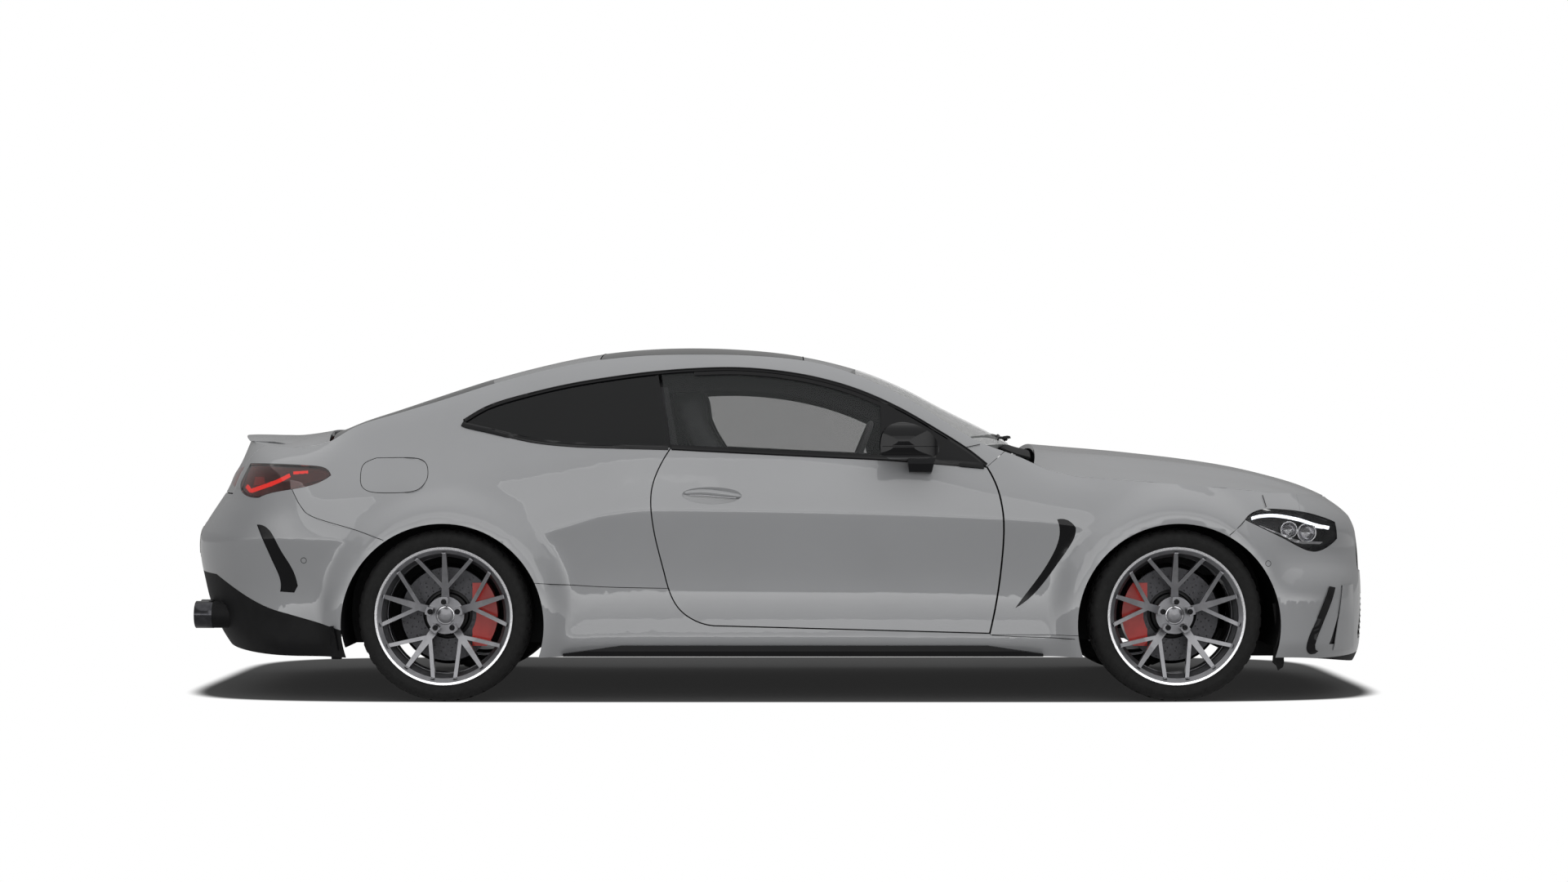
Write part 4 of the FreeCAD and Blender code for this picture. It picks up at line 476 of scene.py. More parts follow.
def drilledDisc(corner):
    side = sideOf(corner)
    low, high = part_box(f"brake_disc_{corner}")
    centre = (low + high) / 2
    outerR, innerR = (high.z - low.z) / 2, disc["innerRadius"]
    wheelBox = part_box(f"tyre_{corner}")
    middle = (wheelBox[0].y + wheelBox[1].y) / 2
    place = lambda r, a, across: (centre.x + r * math.cos(a), middle + side * across, centre.z + r * math.sin(a))
    points, faces = [], []
    rows, tiles = disc["rows"], disc["tiles"]
    for layer, flip in zip(disc["faces"], (1, -1)):           # across from the wheel's middle
        for row in range(rows):
            r0, r1 = (innerR + (outerR - innerR) * (row + s) / rows for s in (0, 1))
            for t in range(tiles):
                a0, a1 = (2 * math.pi * (t + s + 0.5 * (row % 2)) / tiles for s in (0, 1))
                rm, am = (r0 + r1) / 2, (a0 + a1) / 2
                start = len(points)
                tile = [(r0, a0), (r0, am), (r0, a1), (rm, a1), (r1, a1), (r1, am), (r1, a0), (rm, a0)]
                points += [place(r, a, layer) for r, a in tile]
                if (t + row) % 3:
                    faces.append(tuple(start + i for i in range(8)))
                    continue
                hole = []
                for j in range(8):
                    turn, wide = math.radians(225 + 45 * j), disc["holeRadius"]
                    hole.append((rm + wide * math.sin(turn), am + wide * math.cos(turn) / rm))
                for deep in (layer, layer - flip * disc["holeDeep"]):
                    points += [place(r, a, deep) for r, a in hole]
                for j in range(8):
                    k = (j + 1) % 8
                    faces.append((start + j, start + k, start + 8 + k, start + 8 + j))
                    faces.append((start + 8 + j, start + 8 + k, start + 16 + k, start + 16 + j))
                faces.append(tuple(start + 16 + j for j in range(8)))
    piece = meshPiece(f"rotor_{corner}", points, faces, iron, f"wheel_{corner}", 30)
    hub = Vector((centre.x, middle, centre.z))
    edge = [(outerR, 0.024), (outerR, 0.031), (outerR - 0.02, 0.031), (outerR - 0.02, 0.049), (outerR, 0.049),
            (outerR, 0.056)]
    turnedPiece(f"rotorEdge_{corner}", edge, hub, side, iron, f"wheel_{corner}", 96, closed=False)
    bell = [(0.0, 0.0205), (0.070, 0.0205), (0.080, 0.0225), (0.084, 0.027), (0.086, 0.036), (0.100, 0.038),
            (0.100, 0.044), (0.078, 0.044), (0.0, 0.044)]
    turnedPiece(f"bell_{corner}", bell, hub, side, blackAbs, f"wheel_{corner}", 72, closed=False)
    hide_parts(f"brake_disc_{corner}")


shieldOn = {"front_right": "steer_right", "front_left": "steer_left", "rear_right": "body", "rear_left": "body"}
shield = {"ring": ((0.07, -0.066), (0.17, -0.066), (0.198, -0.060), (0.200, -0.063), (0.172, -0.069), (0.07, -0.069)),
          "steps": 60, "from": -125, "sweep": 250}
for corner in corners:
    drilledDisc(corner)
    side = sideOf(corner)
    low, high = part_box(f"tyre_{corner}")
    way = 1 if corner.startswith("front") else -1             # the caliper's side stays open
    middle = (low + high) / 2
    rows = []
    for k in range(shield["steps"] + 1):
        a = math.radians(shield["from"]) + math.radians(shield["sweep"]) * k / shield["steps"]
        rows.append([(middle.x + way * r * math.cos(a), middle.y + side * across, middle.z + r * math.sin(a))
                     for r, across in shield["ring"]])
    loftPiece(f"dustShield_{corner}", rows, frameBlack, shieldOn[corner], 30)
print("brake discs done")


# trims laid on the panels: lines are (x, z) in mm, as seen from the side
def movedLine(line, away):
    # the line moved to the left of its own run
    out = []
    for i, (x, z) in enumerate(line):
        (x0, z0), (x1, z1) = line[max(i - 1, 0)], line[min(i + 1, len(line) - 1)]
        run = math.hypot(x1 - x0, z1 - z0) or 1.0
        out.append((x - away * (z1 - z0) / run, z + away * (x1 - x0) / run))
    return out


def mouldingPiece(name, line, edges, height, tree, material, body, side, steps):
    # a low moulding along a line: edges are its two sides, mm to the left of the run, and height its crown
    line = smoothLine(line, steps)
    shape = ((0.0, -1.0), (0.04, 0.6), (0.25, 0.95), (0.5, 1.0), (0.75, 0.95), (0.96, 0.6), (1.0, -1.0))
    rows = []
    for i in range(len(line)):
        row = []
        for along, up in shape:
            away = edges[0] + (edges[1] - edges[0]) * along
            x, z = movedLine(line[max(i - 1, 0):i + 2], away)[min(i, 1)]
            row.append(onSide(tree, x * mm, z * mm, (height * up if up > 0 else -1.5) * mm, side))
        rows.append(row)
    return loftPiece(name, rows, material, body, 35)


def patchRows(bottom, top, columns, rows):
    # rows of two numbers a point, filling the space between two lines
    lines = list(zip(smoothLine(bottom, columns), smoothLine(top, columns)))
    return [[tuple(a + (b - a) * r / (rows - 1) for a, b in zip(low, high)) for low, high in lines]
            for r in range(rows)]


def patchPiece(name, bottom, top, lift, thickness, tree, material, body, side, columns, rows):
    # a thin sheet following the flank between two lines, lift mm off it (negative is inside)
    grid = [[onSide(tree, x * mm, z * mm, lift * mm, side) for x, z in row]
            for row in patchRows(bottom, top, columns, rows)]
    return sheetPiece(name, grid, thickness * mm, material, body, inwards=(grid[0][0].x, 0, 0.6))


belt = [(812, 927), (471, 955), (149, 971), (-174, 987), (-425, 1000)]
quarterFoot = [(-438, 1000), (-658, 1006), (-820, 1012), (-982, 1029), (-1146, 1066), (-1254, 1090)]
windowHead = [(-1261, 1104), (-1158, 1164), (-995, 1213), (-834, 1250), (-670, 1277), (-507, 1298), (-342, 1311),
              (-178, 1315), (-13, 1303), (151, 1275), (314, 1227), (477, 1154), (637, 1060), (748, 988), (820, 930)]
doorHead = windowHead[6:]
flankTrees = {side: castTree(f"bodyside_{word}", f"door_{word}", f"door_glass_{word}", "quarter_glass", "front_fenders")
              for side, word in sides}
glassTrees = {side: castTree(f"door_glass_{word}") for side, word in sides}
windowTrim = {"belt": (-13, 10, 3.6), "quarter": (-11, 10, 3.4), "head": (-5, 10, 3.4), "paneEdgeWide": 14,
              "bandDeep": 60, "pillarWide": 62, "mirrorPanelFrom": 405}

for side, word in sides:
    tree, door, pane = flankTrees[side], f"door_{word}", glassTrees[side]
    for name, line, on, steps in (("belt", belt, door, 60), ("quarter", quarterFoot + [(-1268, 1097)], "body", 50),
                                  ("head", windowHead, "body", 110)):
        inner, outer, height = windowTrim[name]
        mouldingPiece(f"{name}Moulding_{word}", line, (inner, outer), height, tree, blackAcrylic, on,
                      side, steps)
    # the pane's printed edge and the black panel in the front corner that carries the mirror
    frit = movedLine(smoothLine(doorHead, 60), -6)
    frit = [p for p in frit if -466 < p[0] < 800]
    patchPiece(f"paneEdge_{word}", movedLine(frit, -windowTrim["paneEdgeWide"]), frit, 0.4, 0.3, pane, blackAcrylic,
               door, side, 60, 3)
    start = windowTrim["mirrorPanelFrom"]
    head = [p for p in movedLine(smoothLine(doorHead, 90), -7) if start < p[0] < 806]
    head = [(start, head[0][1] + (head[0][0] - start) * 0.45)] + head
    foot = [(x, 961 - (x - start) * 0.083 if x < 600 else 944.5 - (x - 600) * 0.085) for x, _ in head]
    foot = [(x, min(z, h[1] - 0.6)) for (x, z), h in zip(foot, head)]
    patchPiece(f"mirrorPanel_{word}", foot, head, 1.0, 2.5, pane, blackAcrylic, door, side, 30, 6)
    # lining of the roof rail, seen through the pane
    rail = [p for p in movedLine(smoothLine(windowHead, 110), -4) if -1180 < p[0] < 790]
    patchPiece(f"railLining_{word}", movedLine(rail, -windowTrim["bandDeep"]), rail, -34, 6, tree, blackAbs, "body",
               side, 80, 5)
    pillar = [(-395, 1000), (-412, 1080), (-432, 1180), (-448, 1262)]
    patchPiece(f"pillarCover_{word}", [(x - windowTrim["pillarWide"], z) for x, z in pillar], pillar, -30, 8, tree,
               knit, "body", side, 12, 6)
print("window trims done")


# door handles: a bar across each dish, with a bright lower edge
handle = {"line": [(-372, 822), (-300, 826), (-220, 818), (-150, 809)], "dish": ((-392, 822), (-138, 808)),
          "wide": 24, "thick": 15, "standsOff": 3, "bulge": 5}
for side, word in sides:
    tree = castTree(f"door_{word}")
    ends = [onSide(tree, x * mm, z * mm, 0, side) for x, z in handle["dish"]]
    line = smoothLine(handle["line"], 24)
    rows = []
    for i, (x, z) in enumerate(line):
        share = i / (len(line) - 1)
        base = ends[0].lerp(ends[1], share)
        bulge = math.sin(math.pi * share) ** 0.35 if 0 < share < 1 else 0.0
        wide = handle["wide"] * (0.35 + 0.65 * bulge) * mm
        outY = base.y + side * (handle["standsOff"] + handle["bulge"] * bulge) * mm
        inY = outY - side * handle["thick"] * mm * (0.5 + 0.5 * bulge)
        rows.append([(x * mm, outY + (inY - outY) * (0.5 - 0.5 * math.cos(a)), z * mm + wide / 2 * math.sin(a))
                     for a in (2 * math.pi * k / 16 for k in range(16))])
    loftPiece(f"handleBar_{word}", rows, lacquer, f"door_{word}", 50)
    edge = [(p[0], p[1] + side * 0.001, p[2] - 0.0005) for p in (row[12] for row in rows[2:-2])]
    linePiece(f"handleEdge_{word}", [edge], 1.6 * mm, chrome, f"door_{word}")
print("door handles done")


# lamps: housings, chrome and light guides behind the lenses
lampLens = {"front": [(1832, 717), (1866, 742), (1900, 754), (1985, 757), (2072, 748), (2160, 728), (2235, 702)],
            "frontFoot": [(1832, 717), (1988, 644), (2072, 602), (2130, 586), (2215, 612), (2244, 634)],
            "rear": [(-1773, 891), (-1790, 915), (-1850, 930), (-1960, 936), (-2060, 938), (-2129, 938)],
            "rearFoot": [(-1773, 891), (-1800, 872), (-1923, 836), (-2064, 802), (-2120, 806), (-2161, 830)]}


def fillEdges(name, node, foot, head, near, deep, side):
    # the wall round a lamp, from behind its lens to its housing
    tree = castTree(node)
    ring = smoothLine(foot, 40) + smoothLine(head, 40)[::-1]
    rows = [[onSide(tree, x * mm, z * mm, lift * mm, side) for lift in (near, deep)] for x, z in ring]
    rows.append(rows[0])
    return sheetPiece(name, rows, 1.5 * mm, blackAbs, "body", inwards=(rows[20][0].x, 0, 0.6))


for side, word in sides:
    lensTree = castTree("headlamps")
    foot, head = movedLine(lampLens["frontFoot"], 5), movedLine(lampLens["front"], -5)
    patchPiece(f"lampHousing_{word}", foot, head, -62, 3, lensTree, blackAbs, "body", side, 40, 14)
    fillEdges(f"lampWall_{word}", "headlamps", foot, head, -3, -64, side)
    # daytime light guide along the upper edge, then two reflector bowls behind a chrome blade
    guide = [(1872, 736), (1915, 744), (1985, 744), (2072, 728), (2150, 704), (2216, 690)]
    patchPiece(f"dayLight_{word}", movedLine(guide, -11), guide, -13, 4, lensTree, whiteLight, "body", side,
               50, 4)
    patchPiece(f"dayLightTip_{word}", [(2150, 686), (2215, 676)], [(2152, 698), (2217, 688)], -16, 4, lensTree,
               whiteLight, "body", side, 10, 3)
    for n, (x, z, size) in enumerate(((2035, 676, 30), (2118, 656, 34))):
        base = onSide(lensTree, x * mm, z * mm, -28 * mm, side)
        bowl = [(0.0, 0.026), (0.5, 0.024), (0.85, 0.014), (1.0, 0.0), (1.12, 0.0), (1.12, 0.02), (0.0, 0.034)]
        turnedPiece(f"lampBowl{n}_{word}", [(size * r * mm, a) for r, a in bowl], base, side, chrome, "body",
                    40, closed=False)
        ball = [(0.0, -0.002), (0.3, 0.0), (0.48, 0.006), (0.54, 0.014), (0.54, 0.022), (0.0, 0.022)]
        turnedPiece(f"lampBall{n}_{word}", [(size * r * mm, a) for r, a in ball], base, side, clearLens, "body",
                    40, closed=False)
    blade = [(1905, 700, 6), (2010, 650, 8), (2072, 622, 9), (2190, 612, 8)]
    patchPiece(f"lampBlade_{word}", [(x, z) for x, z, _ in blade], [(x, z + wide) for x, z, wide in blade], -20, 5,
               lensTree, chrome, "body", side, 30, 3)
    # tail lamp: smoked lens with a hooked red light guide
    rearTree = castTree("tail_lamps")
    foot, head = movedLine(lampLens["rearFoot"], -5), movedLine(lampLens["rear"], 5)
    patchPiece(f"tailHousing_{word}", foot, head, -34, 3, rearTree, blackAbs, "body", side, 40, 12)
    fillEdges(f"tailWall_{word}", "tail_lamps", foot, head, -3, -36, side)
    hook = [(-2146, 850), (-2134, 842), (-2121, 832), (-2080, 842), (-2000, 868), (-1938, 898)]
    dash = [(-1925, 908), (-1865, 912)]
    for name, line, half, columns, rows in (("Guide", hook, 8, 40, 4), ("Dash", dash, 5, 12, 3)):
        patchPiece(f"tail{name}_{word}", movedLine(line, -half), movedLine(line, half), -14, 4, rearTree, redLight,
                   "body", side, columns, rows)
    patchPiece(f"tailReflector_{word}", [(-2120, 852), (-2060, 862)], [(-2116, 892), (-2066, 892)], -24, 4, rearTree,
               chrome, "body", side, 12, 6)
print("lamps done")


# panel seams that the narrow CAD gaps don't show: dark lines pressed into the paint
seams = {
    "fuelFlap": [(-1600, 960), (-1450, 960), (-1402, 940), (-1391, 900), (-1393, 875), (-1420, 838), (-1480, 824),
                 (-1600, 824), (-1648, 845), (-1658, 890), (-1650, 936), (-1600, 960)],
    "rearBumper": [(-1923, 836), (-1885, 769), (-1836, 728), (-1656, 674), (-1549, 638)],
    "sillRear": [(-960, 470), (-700, 452), (-437, 446)],
    "sillFront": [(838, 262), (960, 256), (1160, 250)],
    "noseFender": [(1925, 812), (1932, 766)],
    "lampToArch": [(1832, 715), (1765, 658)],
    "pillarFoot": [(742, 1002), (800, 1014)],
}
for side, word in sides:
    tree = castTree(f"bodyside_{word}", "front_fenders", "front_bumper", "rear_bumper", "fuel_flap")
    for name, line in seams.items():
        places = [onSide(tree, x * mm, z * mm, -0.3 * mm, side) for x, z in smoothLine(line, 40)]
        linePiece(f"{name}Seam_{word}", [places], 1.3 * mm, frameBlack, "body")
    for name, x, z in (("frontSensor", 1917, 547), ("rearSensor", -1874, 556)):
        ring = [onSide(tree, (x + 11 * math.cos(a)) * mm, (z + 11 * math.sin(a)) * mm, 0.2 * mm, side)
                for a in (2 * math.pi * k / 20 for k in range(20))]
        linePiece(f"{name}_{word}", [ring], 0.9 * mm, frameBlack, "body", closed=True)
print("seams and sensors done")


# padded seats: a skin lofted through rounded sections, thicker at the bolsters
def padSection(wide, thick, bolster, steps):
    # (across, out) round one section: out is towards the sitter
    ring = []
    for k in range(steps):
        a = 2 * math.pi * k / steps
        c, s = math.cos(a), math.sin(a)
        u = math.copysign(abs(c) ** 0.45, c)
        v = math.copysign(abs(s) ** 0.6, s)
        lift = bolster * abs(u) ** 4 if v > 0 else 0.0
        ring.append((u * wide / 2, v * thick / 2 + lift))
    return ring


def padPiece(name, stations, y, material, body, steps=28, level=1):
    # stations: (x, z, width, thickness, bolster) in mm along the seat's own middle line
    rows = []
    for i, (x, z, wide, thick, bolster) in enumerate(stations):
        x0, z0 = stations[max(i - 1, 0)][:2]
        x1, z1 = stations[min(i + 1, len(stations) - 1)][:2]
        run = math.hypot(x1 - x0, z1 - z0)
        nx, nz = (z1 - z0) / run, -(x1 - x0) / run
        if nx + nz < 0:
            nx, nz = -nx, -nz
        rows.append([((x + nx * v) * mm, (y + u) * mm, (z + nz * v) * mm)
                     for u, v in padSection(wide, thick, bolster, steps)])
    piece = loftPiece(name, rows, material, body, 60)
    smoothing = piece.modifiers.new("softSkin", "SUBSURF")
    smoothing.levels = smoothing.render_levels = level
    return piece


seat = {"across": 385, "rearAcross": 300, "railOut": 190}
seatBack = [(-62, 395, 300, 60, 0), (-66, 410, 430, 110, 8), (-90, 480, 490, 130, 22), (-135, 620, 520, 132, 40),
            (-185, 760, 525, 122, 46), (-238, 890, 505, 112, 40), (-288, 985, 440, 108, 24), (-325, 1045, 350, 108, 10),
            (-350, 1100, 296, 116, 4), (-364, 1160, 282, 132, 3), (-369, 1210, 262, 126, 2), (-369, 1240, 214, 92, 0),
            (-368, 1251, 130, 46, 0)]
seatPad = [(-92, 415, 380, 60, 4), (-80, 412, 470, 110, 14), (20, 398, 505, 132, 34), (150, 402, 515, 132, 40),
           (270, 412, 515, 128, 34), (350, 414, 500, 120, 18), (390, 402, 460, 96, 6), (402, 390, 330, 50, 0)]
benchBack = [(-800, 420, 300, 60, 0), (-812, 440, 480, 100, 6), (-845, 540, 520, 118, 14), (-885, 680, 530, 112, 16),
             (-925, 810, 520, 100, 12), (-958, 890, 480, 84, 6), (-972, 925, 330, 46, 0)]
benchPad = [(-850, 410, 380, 60, 2), (-830, 408, 500, 110, 8), (-720, 398, 535, 120, 16), (-600, 402, 535, 118, 16),
            (-520, 400, 510, 100, 8), (-488, 392, 380, 50, 0)]
for side, word in sides:
    middle = side * seat["across"]
    back = padPiece(f"seatBack_{word}", seatBack, middle, leather, "body")
    pad = padPiece(f"seatPad_{word}", seatPad, middle, leather, "body")
    base = [(-110, 330, 380, 40, 0), (-100, 330, 430, 110, 0), (330, 335, 430, 110, 0), (345, 335, 400, 60, 0)]
    padPiece(f"seatBase_{word}", base, middle, skin, "body", 20, 0)
    rails = [(middle + s * seat["railOut"]) * mm for s in (-1, 1)]
    runs = [[(x * mm, y, 215 * mm) for x in (-110, 340)] for y in rails]
    runs += [[(x * mm, y, z * mm) for z in (205, 300)] for y in rails for x in (-80, 310)]
    linePiece(f"seatRails_{word}", runs, 12 * mm, coatedSteel, "body")
    piping = []
    for s in (-1, 1):
        run = []
        for i, (x, z, wide, thick, bolster) in enumerate(seatBack[2:9]):
            x0, z0 = seatBack[1 + i][:2]
            x1, z1 = seatBack[3 + i][:2]
            reach = math.hypot(x1 - x0, z1 - z0)
            out = thick / 2 * 0.985 + bolster * 0.62 ** 4
            run.append(((x + (z1 - z0) / reach * out) * mm, (middle + s * wide * 0.31) * mm,
                        (z - (x1 - x0) / reach * out) * mm))
        piping.append(run)
    linePiece(f"seatPiping_{word}", piping, 2.2 * mm, skin, "body")
    rearBack = padPiece(f"benchBack_{word}", benchBack, side * seat["rearAcross"], leather, "body")
    rearPad = padPiece(f"benchPad_{word}", benchPad, side * seat["rearAcross"], leather, "body")
    if side == -1:
        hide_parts("front_seats")
        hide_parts("rear_bench")
tray = [(-935, 600, 74, 40, 0), (-880, 480, 84, 60, 0), (-800, 400, 84, 90, 0), (-560, 385, 84, 90, 0),
        (-490, 380, 70, 60, 0)]
shelf = [(-1000, 962, 1150, 14, 0), (-1250, 975, 1180, 14, 0), (-1600, 972, 1230, 14, 0), (-1870, 952, 1240, 14, 0)]
padPiece("benchTray", tray, 0, skin, "body", 16, 1)
padPiece("parcelShelf", shelf, 0, knit, "body", 24, 0)
print("seats done")


# cockpit: console, screens, vents and a smoother steering wheel
def boxPiece(name, low, high, material, body, slotName, bevel, turn=None, about=None):
    build = bmesh.new()
    bmesh.ops.create_cube(build, size=1)
    for v in build.verts:
        v.co = Vector((l + (h - l) * (c + 0.5) for l, h, c in zip(low, high, v.co))) * mm
    bmesh.ops.bevel(build, geom=build.edges, offset=bevel * mm, segments=3, affect="EDGES", profile=0.7)
    if turn:
        centre = Vector(about) * mm
        spin = Matrix.Rotation(math.radians(turn), 4, "Y")
        for v in build.verts:
            v.co = centre + spin @ (v.co - centre)
    mesh = bpy.data.meshes.new(name)
    build.to_mesh(mesh)
    build.free()
    mesh.shade_smooth()
    mesh.set_sharp_from_angle(angle=math.radians(40))
    return finishPiece(bpy.data.objects.new(name, mesh), material, body)


def ringPiece(name, centre, axis, radius, section, material, body, steps=72):
    # a ring about any axis: section is (out from the ring's line, along the axis)
    axis = Vector(axis).normalized()
    first = axis.orthogonal().normalized()
    second = axis.cross(first)
    points = []
    for k in range(steps):
        a = 2 * math.pi * k / steps
        outward = first * math.cos(a) + second * math.sin(a)
        points += [Vector(centre) + outward * (radius + u) + axis * v for u, v in section]
    faces = gridFaces(steps, len(section), closedRows=True, closedColumns=True)
    return meshPiece(name, points, faces, material, body, 50)


def roundSection(wide, deep, steps):
    return [(wide * math.cos(a), deep * math.sin(a)) for a in (2 * math.pi * k / steps for k in range(steps))]


cockpit = {"wheelCentre": (0.330, 0.385, 0.935), "wheelAxis": (-0.927, 0, 0.375), "wheelRadius": 0.178, "grip": 0.0165}
rim = ringPiece("steeringRim", cockpit["wheelCentre"], cockpit["wheelAxis"], cockpit["wheelRadius"],
                roundSection(cockpit["grip"], cockpit["grip"] * 0.86, 14), leather, "body")
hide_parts("steering_wheel")
hub, axis, across = Vector(cockpit["wheelCentre"]), Vector(cockpit["wheelAxis"]).normalized(), Vector((0, 1, 0))
up = axis.cross(across).normalized()
up = up if up.z > 0 else -up
boss = [(0.0, 0.018), (0.045, 0.016), (0.066, 0.006), (0.070, -0.012), (0.050, -0.03), (0.0, -0.03)]
points = [hub + (across * math.cos(a) + up * 0.86 * math.sin(a)) * r + axis * v
          for a in (2 * math.pi * k / 40 for k in range(40)) for r, v in boss]
meshPiece("steeringBoss", points, gridFaces(40, len(boss), closedRows=True), leather, "body", 50)
for name, way in (("A", across), ("B", -across), ("C", -up)):
    wide = (up if name != "C" else across) * 0.017
    middles = [hub + way * 0.05 - axis * 0.008, hub + way * 0.11 - axis * 0.012, hub + way * 0.175 - axis * 0.004]
    rows = [[p + s * wide * k + axis * t for s, t in ((-1, 0.004), (1, 0.004), (1, -0.005), (-1, -0.005))]
            for p, k in zip(middles, (1.4, 1.0, 1.2))]
    loftPiece(f"steeringSpoke{name}", rows, alloy, "body", 30)
linePiece("steeringColumn", [[hub - axis * 0.02, hub - axis * 0.30]], 24 * mm, skin, "body")
stalk = hub - axis * 0.07
linePiece("columnStalks", [[stalk, stalk + across * s * 0.16 + up * 0.02] for s in (-1, 1)], 6 * mm, blackAbs, "body")
# low and high corner, material, slot and edge radius in mm, then the lean in degrees and the point it turns about
cabinBoxes = {
    "instrumentScreen": ((588, 245, 925), (600, 525, 1022), blackAcrylic, "gloss_black", 3, -18, (594, 385, 930)),
    "centreScreen": ((560, -115, 690), (572, 115, 960), blackAcrylic, "gloss_black", 5, -28, (566, 0, 700)),
    "centreConsole": ((-420, -105, 365), (640, 105, 520), skin, "dash_plastic", 24),
    "armRest": ((-400, -88, 505), (-60, 88, 580), leather, "seat_leather", 22),
    "consoleTrim": ((-40, -80, 519), (420, 80, 528), blackAcrylic, "gloss_black", 4),
    "dashTrim": ((583, -700, 800), (592, 700, 842), blackAcrylic, "gloss_black", 4),
}
for name, (low, high, material, slotName, *rest) in cabinBoxes.items():
    boxPiece(name, low, high, material, "body", slotName, *rest)
vent = {"across": (-640, -190, 190, 640), "rings": ((34, 0), (20, 3)), "x": 581, "z": 850}
for n, y in enumerate(vent["across"]):
    for r, v in vent["rings"]:
        section = [(u * mm, w * mm) for u, w in roundSection(3, 3, 8)]
        ringPiece(f"airVent{n}_{r}", ((vent["x"] - v) * mm, y * mm, vent["z"] * mm), (-1, 0, 0.1), r * mm, section,
                  chrome, "body", 32)
print("cockpit done")


# door linings, headlining and pillar covers
for side, word in sides:
    door = f"door_{word}"
    foot = [(-440, 420), (-300, 320), (200, 305), (780, 300)]
    head = [(-430, 960), (-100, 956), (300, 944), (760, 905)]
    grid = [[Vector((x * mm, side * 0.7335, z * mm)) for x, z in row] for row in patchRows(foot, head, 30, 10)]
    sheetPiece(f"doorLining_{word}", grid, 3.5 * mm, skin, door, inwards=(0, 0, 0.6))
    rest = [(-330, 640, 40, 30, 0), (-320, 640, 84, 62, 0), (120, 660, 90, 66, 0), (250, 690, 70, 50, 0),
            (262, 692, 40, 30, 0)]
    padPiece(f"doorArmRest_{word}", rest, side * 690, leather, door, 16, 1)
roofTree = castTree("roof_panel", "bodyside_right", "bodyside_left", "rear_window", "windscreen")
grid = [[onTop(roofTree, x * mm, y * mm, -32 * mm) for y in range(-520, 521, 80)] for x in range(-1120, 251, 70)]
sheetPiece("headLining", grid, 4 * mm, knit, "body", inwards=(-0.4, 0, 0.6))
print("linings done")


# tail: lamps across the lid, blank plate, lip spoiler and pipes
def tailPatch(name, rows, lift, thickness, tree, material, body):
    grid = [[onTail(tree, y * mm, z * mm, lift * mm) for y, z in row] for row in rows]
    return sheetPiece(name, grid, thickness * mm, material, body, inwards=(-1.6, 0, 0.8))


lidTree = castTree("boot_lid")
for side, word in sides:
    foot = [(side * 560, 842), (side * 440, 856), (side * 300, 870)]
    head = [(side * 560, 922), (side * 440, 912), (side * 300, 902)]
    lens = patchRows(foot, head, 30, 8)
    tailPatch(f"lidLamp_{word}", lens, 0.5, 5, lidTree, redLens, "boot_lid")
    tailPatch(f"lidLampBack_{word}", lens, -6, 2, lidTree, blackAbs, "boot_lid")
    glow = [(side * 548, 860), (side * 440, 872), (side * 318, 880)]
    tailPatch(f"lidGuide_{word}", patchRows(glow, [(y, z + 9) for y, z in glow], 30, 3), -2, 3, lidTree, redLight,
              "boot_lid")
strip = patchRows([(-300, 870), (0, 872), (300, 870)], [(-300, 902), (0, 904), (300, 902)], 40, 5)
tailPatch("lidStrip", strip, 1.2, 4, lidTree, blackAcrylic, "boot_lid")
bumperTree = castTree("rear_bumper", "rear_diffuser")
recess = patchRows([(-290, 548), (0, 548), (290, 548)], [(-280, 690), (0, 690), (280, 690)], 30, 8)
tailPatch("plateRecess", recess, 0.8, 3, bumperTree, blackAbs, "body")
plate = patchRows([(-260, 562), (0, 562), (260, 562)], [(-260, 672), (0, 672), (260, 672)], 30, 8)
tailPatch("numberPlate", plate, 3.5, 2, bumperTree, plateSheet, "body")
lip = {"reach": 560, "front": 150, "over": 16, "rise": 4, "thick": 9, "steps": 40}
rows = []
for k in range(lip["steps"] + 1):
    y = -lip["reach"] + 2 * lip["reach"] * k / lip["steps"]
    share = 1 - abs(2 * k / lip["steps"] - 1)
    swell = min(1.0, share * 5) ** 0.6
    edge = onTail(lidTree, y * mm, (1038 - 30 * (y / 640) ** 2) * mm, 0)
    top = [onTop(lidTree, edge.x + (lip["front"] - lip["front"] * t) * mm * swell, y * mm,
                 0.3 * mm + lip["rise"] * t * t * swell * mm) for t in (0, 0.25, 0.5, 0.75, 0.93)]
    tip = Vector((edge.x - lip["over"] * swell * mm, y * mm, top[-1].z - 1 * mm))
    under = Vector((edge.x + 2 * mm, y * mm, tip.z - lip["thick"] * mm * (0.4 + 0.6 * swell)))
    inner = Vector((edge.x + 30 * mm, y * mm, under.z))
    rows.append(top + [tip, tip - Vector((0, 0, 3 * mm * swell)), under, inner])
loftPiece("lipSpoiler", rows, lacquer, "boot_lid", 30)
pipe = {"across": (-590, -475, 475, 590), "z": 326, "tipX": -2354, "plugX": -2240, "radius": 44, "plugRadius": 44.5,
        "tip": [(0, 0.0), (1.5, -1.5), (9.5, -1.5), (11, 0), (11, 70), (0, 70)],
        "plug": [(-43.5, 2), (0, 2), (0, 0), (-43.5, 0)]}
for n, y in enumerate(pipe["across"]):
    for part, x, radius, material, slotName in (("Tip", pipe["tipX"], pipe["radius"], darkChrome, "steel"),
                                                ("Plug", pipe["plugX"], pipe["plugRadius"], frameBlack, "black_trim")):
        section = [(u * mm, v * mm) for u, v in pipe[part.lower()]]
        ringPiece(f"pipe{part}{n}", (x * mm, y * mm, pipe["z"] * mm), (1, 0, 0), radius * mm, section, material, "body",
                  48)
print("tail done")


